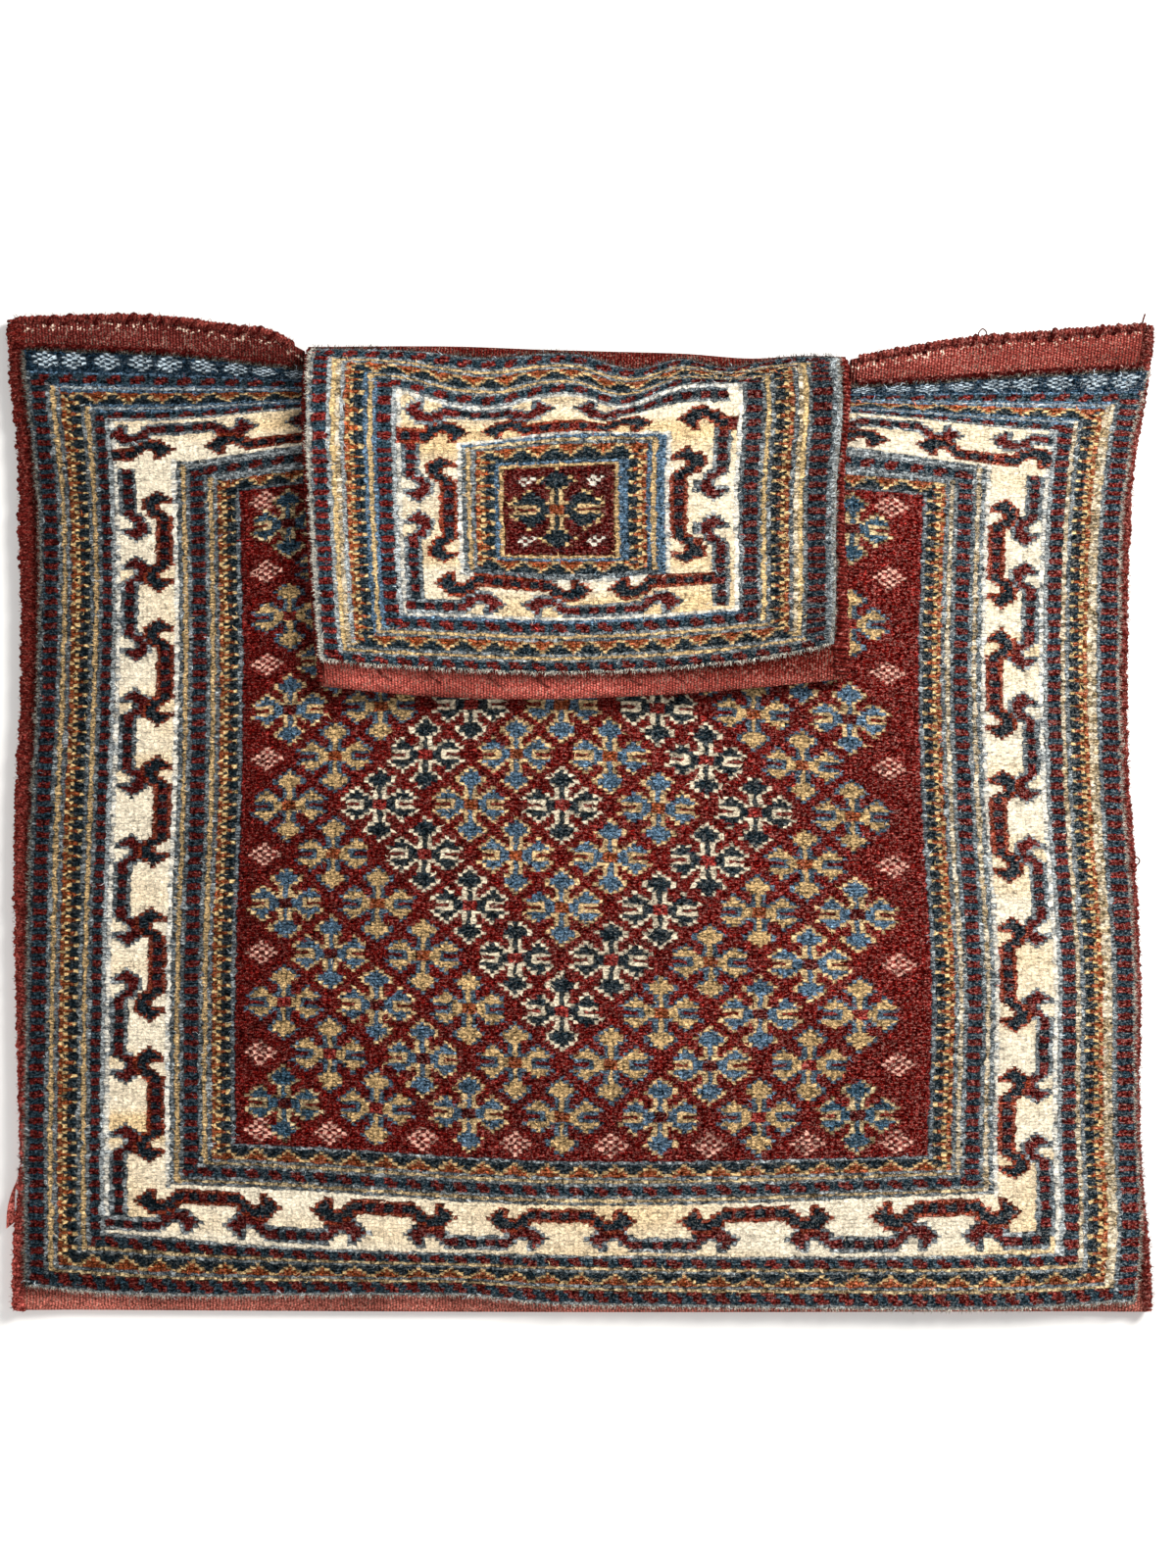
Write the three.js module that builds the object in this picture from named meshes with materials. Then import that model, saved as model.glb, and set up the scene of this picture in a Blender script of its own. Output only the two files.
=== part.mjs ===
// A knotted wool salt bag, empty and lying on its back, its neck folded down over its front.
// Millimetres. X runs across the bag, Y from the bottom fold up to the shoulders, Z up from the floor.
// One length of cloth makes the bag: up the front, and folded at the bottom to come up the back.
import * as THREE from "three";
import { mergeVertices } from "three/addons/utils/BufferGeometryUtils.js";

// Weave
const KNOT_WIDTH = 2.02;
const KNOT_ROW = 1.37;
const CLOTH = 2;
const PILE = 5;
const LAYER_GAP = 0.6; // between the two layers of cloth
const SEAT = 0.3; // between pieces that touch

// Bands of the design in knots, from the edge of the pile inwards: outer guard, main border, inner guard
const SIDE_BANDS = [17, 14, 14];
const TOP_BANDS = [27, 14, 14];
const BOTTOM_BANDS = [17, 14, 14];
const FIELD_COLUMNS = 150;
const FIELD_ROWS = 203;
const NECK_LEFT_BANDS = [19, 14, 9];
const NECK_RIGHT_BANDS = [21, 16, 11];
const NECK_TOP_BANDS = [13, 14, 9];
const NECK_BOTTOM_BANDS = [15, 13, 7];
const NECK_FIELD_COLUMNS = 24;
const NECK_FIELD_ROWS = 28;

// Plain weave left free of pile
const SHOULDER_SKIRT = 15; // above the front pile at the corners
const SKIRT_AT_NECK = 11; // above the front pile beside the neck
const BOTTOM_SKIRT_LEFT = 8; // below the front pile
const BOTTOM_SKIRT_RIGHT = 4;
const MOUTH_HEM = 12;
const FOLD_PILE = 3; // reach of the neck's pile on to the fold

// Overcast edges and the cords woven along the shoulders
const YARN = 1.2;
const LEFT_COVER = 5.5;
const RIGHT_COVER = 3;
const NECK_LEFT_COVER = 2;
const NECK_RIGHT_COVER = 4.5;
const SHOULDER_COVER = 3;
const SHOULDER_CORD = 3.2;

// How the bag lies
const NECK_SHIFT = -2; // the neck's middle from the bag's middle
const NECK_NOTCH = 5; // gap between a shoulder and the neck
const NECK_RISE = 5.5; // plain weave between the front pile and the fold
const NECK_DIP = 9; // drop of the shoulders towards the neck
const DIP_REACH = 8; // how sharply the drop gathers at the top
const SHOULDER_BOW = 1.4; // how much of the drop is left to the end of the shoulder
const CUSHION = 2.5; // the front's stand-off from the back
const RIPPLE = 0.4; // share of the stand-off that comes and goes
const RIPPLES_UP = 1.5;
const RIPPLES_ACROSS = 0.6;
const FLAP_WAVE = 2.5;
const FLAP_WAVES = 1.5;
const FLAP_SAG = 9; // the mouth hangs lower in its middle
const FLAP_LEFT_TAPER = 6;
const FLAP_RIGHT_TAPER = 2;
const RISE_ZONE = 22; // cloth that climbs on to its overcast edge
const LEFT_EDGE = [[0, -3.5], [0.25, -2], [0.5, -0.5], [0.65, 2], [0.8, 1.5], [0.9, 0], [1, -4]];
const RIGHT_EDGE = [[0, 5], [0.15, 0.5], [0.33, 0], [0.53, -4], [0.7, -5], [0.84, -3], [0.92, 0], [1, 5.5]];

// Fineness of the curved surfaces
const LONGEST_CELL = 40;
const FOLD_STEPS = 7;
const HEM_FOLD_STEPS = 3;
const SECTION_STEPS = 8;

// Sizes that follow
const sum = (numbers) => numbers.reduce((total, number) => total + number, 0);
const PILE_WIDTH = (2 * sum(SIDE_BANDS) + FIELD_COLUMNS) * KNOT_WIDTH;
const PILE_LENGTH = (sum(TOP_BANDS) + FIELD_ROWS + sum(BOTTOM_BANDS)) * KNOT_ROW;
const NECK_SIDES = [NECK_LEFT_BANDS, NECK_FIELD_COLUMNS, NECK_RIGHT_BANDS];
const NECK_PILE_WIDTH = sum(NECK_SIDES.flat()) * KNOT_WIDTH;
const NECK_PILE_LENGTH = (sum(NECK_TOP_BANDS) + NECK_FIELD_ROWS + sum(NECK_BOTTOM_BANDS)) * KNOT_ROW;
const PILE_LEFT = LEFT_COVER + SEAT;
const WIDTH = PILE_LEFT + PILE_WIDTH + SEAT + RIGHT_COVER;
const NECK_WIDTH = NECK_LEFT_COVER + NECK_PILE_WIDTH + NECK_RIGHT_COVER + 2 * SEAT;
const NECK_LEFT = WIDTH / 2 + NECK_SHIFT - NECK_WIDTH / 2;
const NECK_RIGHT = NECK_LEFT + NECK_WIDTH;
const BOTTOM_Y = -(BOTTOM_SKIRT_LEFT + PILE_LENGTH + SHOULDER_SKIRT + SEAT + YARN) / 2;
const RISE = YARN + SEAT;
const SKIRT_CLIMB = SHOULDER_SKIRT * (1 - SHOULDER_COVER / SKIRT_AT_NECK); // then level in its yarn
const LAYERS = CLOTH + LAYER_GAP; // middle of one layer to the middle of the next
const HALF_PAIR = CLOTH + LAYER_GAP / 2; // half the thickness of two layers
const HEM_FOLD = HALF_PAIR; // reach of the bottom fold
const FLAP_STACK = CLOTH + PILE + YARN + 4 * SEAT; // front layer to the neck layer that lies over it
const FOLD_RADIUS = FLAP_STACK / 2 + LAYERS / 2;
const FLAP_LENGTH = NECK_PILE_LENGTH - FOLD_PILE + MOUTH_HEM;
const PILE_FOOT = CLOTH / 2 + SEAT;

const mix = (from, to, share) => from + (to - from) * share;
const clamp = (share) => Math.min(1, Math.max(0, share));
const ease = (share) => clamp(share) ** 2 * (3 - 2 * clamp(share));
const fade = (share) => 1 - (2 * clamp(share) - 1) ** 4;

// Even steps from one value to another, both ends included
function steps(from, to, count) {
  return Array.from({ length: count + 1 }, (_, index) => mix(from, to, index / count));
}

// Lines in rising order, with more put between those that lie further apart than a cell
function refine(lines) {
  const sorted = [...lines].sort((a, b) => a - b);
  return sorted.flatMap((line, index) => {
    if (index === 0) return [line];
    const count = Math.ceil((line - sorted[index - 1]) / LONGEST_CELL);
    return steps(sorted[index - 1], line, count).slice(1);
  });
}

// Edges of the bands of a design, from one side of the pile to the other
function bandEdges(start, knot, low, middle, high) {
  const edges = [start];
  for (const knots of [...low, middle, ...high.toReversed()]) edges.push(edges.at(-1) + knots * knot);
  return edges;
}

// Smooth line through [share, value] points
function through(points, share) {
  const next = points.findIndex(([at]) => at >= share);
  if (next <= 0) return points.at(next)[1];
  const [startAt, start] = points[next - 1];
  const [endAt, end] = points[next];
  return mix(start, end, ease((share - startAt) / (endAt - startAt)));
}

// The cloth as it lies. u is measured across from the left edge, v upwards from the bottom fold.
const inNeck = (u) => u > NECK_LEFT - SEAT && u < NECK_RIGHT + SEAT;
const pileBottom = (u) => mix(BOTTOM_SKIRT_LEFT, BOTTOM_SKIRT_RIGHT, u / WIDTH);
const pileTop = (u) => pileBottom(u) + PILE_LENGTH;
const clothTop = (u) => pileTop(u) + SHOULDER_SKIRT;

function neckward(u) {
  const fromCorner = Math.min(u / NECK_LEFT, (WIDTH - u) / (WIDTH - NECK_RIGHT), 1);
  return Math.max(fromCorner, 0) ** SHOULDER_BOW;
}

function clothX(u, v) {
  const height = clamp(v / clothTop(u));
  const left = -WIDTH / 2 + through(LEFT_EDGE, height);
  const right = WIDTH / 2 + through(RIGHT_EDGE, height);
  return mix(left, right, u / WIDTH);
}

// The skirt lies shorter beside the neck than it was woven
const skirtShare = (u) => mix(SHOULDER_SKIRT, SKIRT_AT_NECK, neckward(u)) / SHOULDER_SKIRT;

function clothY(u, v) {
  const top = pileTop(u);
  const dip = NECK_DIP * neckward(u) * Math.min(v / top, 1) ** DIP_REACH;
  return BOTTOM_Y + Math.min(v, top) - dip + Math.max(v - top, 0) * skirtShare(u);
}

function lift(u, v) {
  const across = clamp((u - LEFT_COVER) / (WIDTH - LEFT_COVER - RIGHT_COVER));
  const up = clamp(v / pileTop(u));
  const ripple = 1 + RIPPLE * Math.sin(2 * Math.PI * (RIPPLES_UP * up + RIPPLES_ACROSS * across));
  return CUSHION * fade(across) * fade(up) * ripple;
}

function backZ(u, v) {
  const atLeft = ease(1 - (u - LEFT_COVER) / RISE_ZONE);
  const atRight = ease(1 - (WIDTH - u - RIGHT_COVER) / RISE_ZONE);
  const atShoulder = inNeck(u) ? 0 : ease((v - pileTop(u)) / SKIRT_CLIMB);
  return CLOTH / 2 + RISE * Math.max(atLeft, atRight, atShoulder);
}

const frontZ = (u, v) => backZ(u, v) + LAYERS + lift(u, v);

function front(u, v, height) {
  return new THREE.Vector3(clothX(u, v), clothY(u, v), frontZ(u, v) + height);
}

function back(u, v, height) {
  return new THREE.Vector3(clothX(u, v), clothY(u, v), backZ(u, v) - height);
}

function bottomFold(u, angle, height) {
  const centre = (frontZ(u, HEM_FOLD) + backZ(u, HEM_FOLD)) / 2;
  const radius = (frontZ(u, HEM_FOLD) - backZ(u, HEM_FOLD)) / 2 + height;
  const y = clothY(u, HEM_FOLD) - radius * Math.sin(angle);
  return new THREE.Vector3(clothX(u, HEM_FOLD), y, centre + radius * Math.cos(angle));
}

// The neck, folded forward. s runs along it from the end of the fold to the mouth, negative round the fold;
// out is measured from the middle of its two layers.
function neck(u, s, out) {
  const foldAt = pileTop(u) + NECK_RISE;
  const foldY = clothY(u, foldAt);
  const across = (u - NECK_LEFT) / NECK_WIDTH;
  const centre = CLOTH / 2 + LAYERS + FLAP_STACK / 2;
  const x = clothX(u, foldAt);
  if (s < 0) {
    const angle = Math.PI / 2 + s / FOLD_RADIUS;
    const radius = FOLD_RADIUS + out;
    return new THREE.Vector3(x, foldY + radius * Math.cos(angle), centre + radius * Math.sin(angle));
  }
  const down = s / FLAP_LENGTH;
  const taper = mix(FLAP_LEFT_TAPER, FLAP_RIGHT_TAPER, across) * down;
  const y = foldY - s * (1 - (FLAP_SAG / FLAP_LENGTH) * (2 * across - 1) ** 2);
  const inside = (u - NECK_LEFT - NECK_LEFT_COVER) / (NECK_WIDTH - NECK_LEFT_COVER - NECK_RIGHT_COVER);
  const crest = 0.5 + 0.5 * Math.cos(2 * Math.PI * FLAP_WAVES * across);
  const wave = FLAP_WAVE * fade(inside) * ease(2 * down) * crest;
  const under = lift(u, y - BOTTOM_Y);
  return new THREE.Vector3(x + taper, y, centre + FOLD_RADIUS + out + under + wave);
}

// Closed solids

function closedGeometry(corners, triangles) {
  const geometry = new THREE.BufferGeometry();
  geometry.setAttribute("position", new THREE.Float32BufferAttribute(corners.flatMap((p) => p.toArray()), 3));
  geometry.setIndex(triangles.flat());
  const merged = mergeVertices(geometry, 1e-4);
  merged.computeVertexNormals();
  return merged;
}

// Cells of a sheet: point(u, r, face) gives a corner on the outer (1) or inner (-1) face of the sheet
function sheetCells(columns, rows, point, turned = false) {
  const cells = [];
  for (let i = 0; i + 1 < columns.length; i += 1) {
    for (let j = 0; j + 1 < rows.length; j += 1) {
      const ring = [[i, j], [i + 1, j], [i + 1, j + 1], [i, j + 1]];
      if (turned) ring.reverse();
      const face = (side) => ring.map(([c, r]) => point(columns[c], rows[r], side));
      cells.push({ outer: face(1), inner: face(-1) });
    }
  }
  return cells;
}

// A sheet of cells as one solid: both faces, and a wall along each edge that only one cell has
function sheetSolid(cells) {
  const corners = [];
  const triangles = [];
  const quad = (a, b, c, d) => {
    const first = corners.length;
    corners.push(a, b, c, d);
    triangles.push([first, first + 1, first + 2], [first, first + 2, first + 3]);
  };
  const key = (point) => point.toArray().map((value) => Math.round(value * 1000)).join(",");
  const edges = new Map();
  for (const { outer, inner } of cells) {
    quad(...outer);
    quad(inner[0], inner[3], inner[2], inner[1]);
    for (let k = 0; k < 4; k += 1) {
      const next = (k + 1) % 4;
      const names = [key(outer[k]), key(outer[next])];
      const opposite = `${names[1]}|${names[0]}`;
      if (edges.has(opposite)) edges.delete(opposite);
      else edges.set(names.join("|"), [outer[next], outer[k], inner[k], inner[next]]);
    }
  }
  for (const wall of edges.values()) quad(...wall);
  return closedGeometry(corners, triangles);
}

// A section of [inward, up] points carried along frames, capped at both ends
function sweep(frames, section) {
  const corners = [];
  const triangles = [];
  const count = section.length;
  for (const { at, inward, up } of frames) {
    for (const [n, z] of section) {
      corners.push(at.clone().addScaledVector(inward, n).addScaledVector(up, z));
    }
  }
  const along = frames.at(-1).at.clone().sub(frames[0].at);
  const handed = Math.sign(frames[0].inward.clone().cross(frames[0].up).dot(along));
  const push = (a, b, c) => triangles.push(handed > 0 ? [a, b, c] : [a, c, b]);
  for (let f = 0; f + 1 < frames.length; f += 1) {
    for (let k = 0; k < count; k += 1) {
      const low = f * count + k;
      const lowNext = f * count + ((k + 1) % count);
      push(low, lowNext, lowNext + count);
      push(low, lowNext + count, low + count);
    }
  }
  const last = (frames.length - 1) * count;
  const outline = section.map(([n, z]) => new THREE.Vector2(n, z));
  for (const [a, b, c] of THREE.ShapeUtils.triangulateShape(outline, [])) {
    push(a, c, b);
    push(last + a, last + b, last + c);
  }
  return closedGeometry(corners, triangles);
}

// Section of an overcast edge: yarn carried round two layers of cloth, open towards the cloth
function overcastSection(cover) {
  const slot = HALF_PAIR + SEAT;
  const reach = cover + SEAT + YARN;
  const round = steps(0, Math.PI, SECTION_STEPS).map((turn) => {
    const rise = Math.sign(Math.cos(turn)) * Math.sqrt(Math.abs(Math.cos(turn)));
    return [cover - reach * Math.sqrt(Math.abs(Math.sin(turn))), (slot + YARN) * rise];
  });
  return [...round, [cover, -slot], [-SEAT, -slot], [-SEAT, slot], [cover, slot]];
}

function roundSection(diameter) {
  return steps(0, 2 * Math.PI, SECTION_STEPS).slice(1).map((turn) => {
    return [(diameter / 2) * Math.cos(turn), (diameter / 2) * Math.sin(turn)];
  });
}

// Frames along a line that lies flat, with its inward side to the left or the right of the way it runs
function flatFrames(points, inwardIsLeft) {
  return points.map((at, index) => {
    const before = points[Math.max(index - 1, 0)];
    const after = points[Math.min(index + 1, points.length - 1)];
    const way = after.clone().sub(before).setZ(0).normalize();
    const left = new THREE.Vector3(-way.y, way.x, 0);
    return { at, inward: inwardIsLeft ? left : left.negate(), up: new THREE.Vector3(0, 0, 1) };
  });
}

// Lines of knots that the cloth and the pile on it share: across, up the front, and up the neck from its hem
const FRONT_COLUMNS = bandEdges(PILE_LEFT, KNOT_WIDTH, SIDE_BANDS, FIELD_COLUMNS, SIDE_BANDS);
const FRONT_ROWS = bandEdges(0, KNOT_ROW, BOTTOM_BANDS, FIELD_ROWS, TOP_BANDS);
const NECK_PILE_LEFT = NECK_LEFT + NECK_LEFT_COVER + SEAT;
const NECK_COLUMNS = bandEdges(NECK_PILE_LEFT, KNOT_WIDTH, ...NECK_SIDES);
const NECK_ROWS = bandEdges(0, KNOT_ROW, NECK_BOTTOM_BANDS, NECK_FIELD_ROWS, NECK_TOP_BANDS);
const LEFT_SHOULDER_END = NECK_LEFT - NECK_NOTCH;
const RIGHT_SHOULDER_END = NECK_RIGHT + NECK_NOTCH;
const EDGE_LINES = [0, LEFT_COVER + RISE_ZONE, WIDTH - RIGHT_COVER - RISE_ZONE, WIDTH];
const SKIRT_ROWS = [0, SKIRT_CLIMB / 2, SKIRT_CLIMB, SHOULDER_SKIRT];
const NECK_LINES = [LEFT_SHOULDER_END, NECK_LEFT, ...NECK_COLUMNS, NECK_RIGHT, RIGHT_SHOULDER_END];
const COLUMN_LINES = refine([...EDGE_LINES, ...FRONT_COLUMNS, ...NECK_LINES]);
const ROW_LINES = refine(FRONT_ROWS);
const FLAP_ROWS = refine([...NECK_ROWS, FLAP_LENGTH - MOUTH_HEM]);

// Distance up the front, and along the neck, of a row measured from the lower edge of the pile
const frontRow = (u, row) => pileBottom(u) + row;
const neckRow = (row) => FLAP_LENGTH - MOUTH_HEM - row;
const FOLD_LINES = steps(-Math.PI * FOLD_RADIUS, -FOLD_PILE, FOLD_STEPS);
const FLAP_LINES = [...FOLD_LINES, ...FLAP_ROWS.map(neckRow).toReversed().slice(1), FLAP_LENGTH];

// Ground cloth

function groundCloth() {
  const half = CLOTH / 2;
  const neckColumns = COLUMN_LINES.filter((u) => u >= NECK_LEFT && u <= NECK_RIGHT);
  const shoulders = [
    COLUMN_LINES.filter((u) => u <= LEFT_SHOULDER_END),
    COLUMN_LINES.filter((u) => u >= RIGHT_SHOULDER_END),
  ];
  const footV = (u, share) => mix(HEM_FOLD, pileBottom(u), share);
  const skirtV = (u, row) => pileTop(u) + row;
  const riseV = (u, share) => pileTop(u) + NECK_RISE * share;
  const hemFold = steps(0, Math.PI, HEM_FOLD_STEPS);
  const cells = [
    ...sheetCells(COLUMN_LINES, [0, 1], (u, r, side) => front(u, footV(u, r), side * half)),
    ...sheetCells(COLUMN_LINES, ROW_LINES, (u, r, side) => front(u, frontRow(u, r), side * half)),
    ...sheetCells(COLUMN_LINES, hemFold, (u, angle, side) => bottomFold(u, angle, side * half), true),
    ...sheetCells(COLUMN_LINES, [0, 1], (u, r, side) => back(u, footV(u, r), side * half), true),
    ...sheetCells(COLUMN_LINES, ROW_LINES, (u, r, side) => back(u, frontRow(u, r), side * half), true),
    ...sheetCells(neckColumns, [0, 1], (u, r, side) => front(u, riseV(u, r), side * half)),
    ...sheetCells(neckColumns, [0, 1], (u, r, side) => back(u, riseV(u, r), side * half), true),
    ...sheetCells(neckColumns, FLAP_LINES, (u, s, side) => neck(u, s, -LAYERS / 2 - side * half)),
    ...sheetCells(neckColumns, FLAP_LINES, (u, s, side) => neck(u, s, LAYERS / 2 + side * half), true),
  ];
  for (const columns of shoulders) {
    cells.push(...sheetCells(columns, SKIRT_ROWS, (u, r, side) => front(u, skirtV(u, r), side * half)));
    cells.push(...sheetCells(columns, SKIRT_ROWS, (u, r, side) => back(u, skirtV(u, r), side * half), true));
  }
  return sheetSolid(cells);
}

// Pile: one field or frame of knots, standing on the cloth between two rings of the design

const frontPile = {
  columnEdges: FRONT_COLUMNS,
  rowEdges: FRONT_ROWS,
  columnLines: COLUMN_LINES,
  rowLines: ROW_LINES,
  point: (u, row, side) => front(u, frontRow(u, row), PILE_FOOT + (side > 0 ? PILE : 0)),
};

const neckPile = {
  columnEdges: NECK_COLUMNS,
  rowEdges: NECK_ROWS,
  columnLines: COLUMN_LINES,
  rowLines: FLAP_ROWS,
  point: (u, row, side) => neck(u, neckRow(row), LAYERS / 2 + PILE_FOOT + (side > 0 ? PILE : 0)),
};

// The lines over one stretch, its ends kept half a seat short of the neighbouring pile
function stretch(lines, from, to) {
  const inside = lines.filter((line) => line > from + SEAT && line < to - SEAT);
  return [from + SEAT / 2, ...inside, to - SEAT / 2];
}

function pileFrame({ columnEdges, rowEdges, columnLines, rowLines, point }, ring) {
  const sides = (edges, lines) => {
    const [low, lowEnd] = edges.slice(ring);
    const [highEnd, high] = edges.slice(edges.length - ring - 2);
    const inside = lines.filter((line) => line > lowEnd && line < highEnd);
    return { low: stretch(lines, low, lowEnd), inside, high: stretch(lines, highEnd, high) };
  };
  const across = sides(columnEdges, columnLines);
  const along = sides(rowEdges, rowLines);
  const columns = [...across.low, ...across.inside, ...across.high];
  const rows = [along.low.at(-1), ...along.inside, along.high[0]];
  return sheetSolid([
    ...sheetCells(columns, along.low, point),
    ...sheetCells(columns, along.high, point),
    ...sheetCells(across.low, rows, point),
    ...sheetCells(across.high, rows, point),
  ]);
}

function pileField({ columnEdges, rowEdges, columnLines, rowLines, point }, ring) {
  const columns = stretch(columnLines, columnEdges[ring], columnEdges[ring + 1]);
  const rows = stretch(rowLines, rowEdges[ring], rowEdges[ring + 1]);
  return sheetSolid(sheetCells(columns, rows, point));
}

// Overcast edges and cords

function sideOvercast(u, cover, inwardIsLeft) {
  const up = ROW_LINES.map((row) => frontRow(u, row));
  const skirt = SKIRT_ROWS.slice(1).map((row) => pileTop(u) + row);
  const line = [HEM_FOLD, ...up, ...skirt, clothTop(u) + SEAT + YARN].map((v) => front(u, v, -LAYERS / 2));
  return sweep(flatFrames(line, inwardIsLeft), overcastSection(cover));
}

function shoulderLine([from, to], v, height) {
  const inside = COLUMN_LINES.filter((u) => u > from + SEAT && u < to - SEAT);
  return [from, ...inside, to].map((u) => front(u, v(u), height));
}

function shoulderOvercast(ends) {
  const line = shoulderLine(ends, clothTop, -LAYERS / 2);
  return sweep(flatFrames(line, false), overcastSection(SHOULDER_COVER));
}

function shoulderCord(ends) {
  const above = (u) => pileTop(u) + (SHOULDER_CORD / 2 + SEAT) / skirtShare(u);
  const line = shoulderLine(ends, above, PILE_FOOT + SHOULDER_CORD / 2 + SEAT);
  return sweep(flatFrames(line, false), roundSection(SHOULDER_CORD));
}

function neckOvercast(u, cover, inward) {
  const stations = FLAP_LINES.filter((s) => s >= (-Math.PI / 2) * FOLD_RADIUS);
  const frames = stations.map((s) => {
    const at = neck(u, s, 0);
    return { at, inward: new THREE.Vector3(inward, 0, 0), up: neck(u, s, 1).sub(at).normalize() };
  });
  return sweep(frames, overcastSection(cover));
}

// The bag

const WOOL = { roughness: 0.95, metalness: 0 };
const COLOURS = {
  ground: 0x8a3a36,
  overcast: 0x6e2a28,
  field: 0x701c1c,
  innerGuard: 0x46586a,
  border: 0xe6d6b2,
  outerGuard: 0x6f5a48,
};

const bag = new THREE.Group();

function add(name, geometry, colour) {
  const mesh = new THREE.Mesh(geometry, new THREE.MeshStandardMaterial({ ...WOOL, color: colour }));
  mesh.name = name;
  bag.add(mesh);
}

add("ground_cloth", groundCloth(), COLOURS.ground);

const RINGS = ["outer_guard", "main_border", "inner_guard"];
const RING_COLOURS = [COLOURS.outerGuard, COLOURS.border, COLOURS.innerGuard];
RINGS.forEach((ring, index) => {
  add(`front_${ring}_pile`, pileFrame(frontPile, index), RING_COLOURS[index]);
  add(`neck_${ring}_pile`, pileFrame(neckPile, index), RING_COLOURS[index]);
});
add("front_field_pile", pileField(frontPile, RINGS.length), COLOURS.field);
add("neck_field_pile", pileField(neckPile, RINGS.length), COLOURS.field);

add("left_side_overcast", sideOvercast(0, LEFT_COVER, false), COLOURS.overcast);
add("right_side_overcast", sideOvercast(WIDTH, RIGHT_COVER, true), COLOURS.overcast);
add("neck_left_overcast", neckOvercast(NECK_LEFT, NECK_LEFT_COVER, 1), COLOURS.overcast);
add("neck_right_overcast", neckOvercast(NECK_RIGHT, NECK_RIGHT_COVER, -1), COLOURS.overcast);

const LEFT_SHOULDER = [LEFT_COVER + 2 * SEAT, LEFT_SHOULDER_END];
const RIGHT_SHOULDER = [RIGHT_SHOULDER_END, WIDTH - RIGHT_COVER - 2 * SEAT];
add("left_shoulder_overcast", shoulderOvercast(LEFT_SHOULDER), COLOURS.overcast);
add("right_shoulder_overcast", shoulderOvercast(RIGHT_SHOULDER), COLOURS.overcast);
add("left_shoulder_cord", shoulderCord(LEFT_SHOULDER), COLOURS.overcast);
add("right_shoulder_cord", shoulderCord(RIGHT_SHOULDER), COLOURS.overcast);

export default bag;
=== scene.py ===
"""Looks of a knotted wool salt bag that lies on its back, its neck folded down over its front.

Sizes are in millimetres. Lamps, and places on the bag in materials, are in metres.
Columns of knots are counted from the left, rows from the bottom.
"""

import math

import bmesh
import bpy
import numpy as np
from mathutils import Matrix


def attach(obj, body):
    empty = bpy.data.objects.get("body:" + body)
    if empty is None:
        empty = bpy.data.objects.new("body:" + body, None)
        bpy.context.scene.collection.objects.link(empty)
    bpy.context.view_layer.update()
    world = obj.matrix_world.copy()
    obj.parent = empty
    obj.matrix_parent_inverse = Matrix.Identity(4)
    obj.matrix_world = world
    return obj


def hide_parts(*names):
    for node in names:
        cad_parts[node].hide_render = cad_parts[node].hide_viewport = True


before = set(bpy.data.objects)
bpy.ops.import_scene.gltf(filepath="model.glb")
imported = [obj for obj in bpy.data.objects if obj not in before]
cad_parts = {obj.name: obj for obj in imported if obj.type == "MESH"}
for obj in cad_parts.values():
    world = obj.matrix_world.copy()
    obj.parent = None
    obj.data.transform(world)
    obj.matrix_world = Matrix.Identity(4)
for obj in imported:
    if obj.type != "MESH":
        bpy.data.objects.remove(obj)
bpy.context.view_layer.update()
MM = 0.001
UP = np.array([0.0, 0.0, 1.0])

# The cloth as it lies
CLOTH = 2.0
LAYERS = 2.6  # middle of one layer of cloth to the middle of the next
PILE = 5.0
RISE = 1.5  # the back climbs on to the overcast edges
RISE_ZONE = 22.0
SHOULDER_RISE = 10.0
NECK_SHARES = (0.252, 0.742)
CUSHION = 2.5
RIPPLE, RIPPLES_UP, RIPPLES_ACROSS = 0.4, 1.5, 0.6
FOLD_CENTRE = 8.3  # height of the middle of the neck's fold
FOLD_RADIUS = 6.0  # to the middle of the neck's two walls
STEEPEST = 0.995  # share of the fold's radius that its curve is followed to
WALL = LAYERS / 2
FLAP_WAVE, FLAP_WAVES = 2.0, 1.5  # height of the folded neck's waves, and how many lie across it
CRUMPLE = 4.2  # height of the small creases below the fold
CRUMPLE_ACROSS, CRUMPLE_DOWN, CRUMPLE_SOFT = (0.28, 0.68), 0.3, 0.12  # shares of the neck that are creased
CREASE_STEP, CREASE_BEND, CREASE_BENDS = 0.11, 1.3, 5
LIFT_START, WAVE_START, CREASE_START = 6, 2, 12  # how soon below the fold these set in
SHEET = 1.6  # thickness of the woven sheet
BACK_UP = CLOTH / 2
FLOOR_GAP = 0.05  # wound yarn stays this far above the floor

# The woven sheet: points of its grids, how far it ends inside the overcasts, and lengths of cloth along it
BODY_ROWS, SHOULDER_ROWS, NECK_FOOT_ROWS = 90, 10, 4
TURN_ROWS, FOLD_ROWS, FLAP_ROWS = 9, 15, 42
NECK_STEPS, SHOULDER_STEPS = 40, 24
LEFT_INSET, RIGHT_INSET, SHOULDER_INSET, NECK_INSET = 1.5, 1.2, 1.2, 1.5
NECK_GAP = 0.004  # share of the width between the neck and the shoulders' grids
WELD = 0.05
WEAVE_WIDTH, BACK_RUN, NECK_RUN = 494, 440, 220
TURN_RUN, TURN_LENGTH = -222, 2

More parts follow.
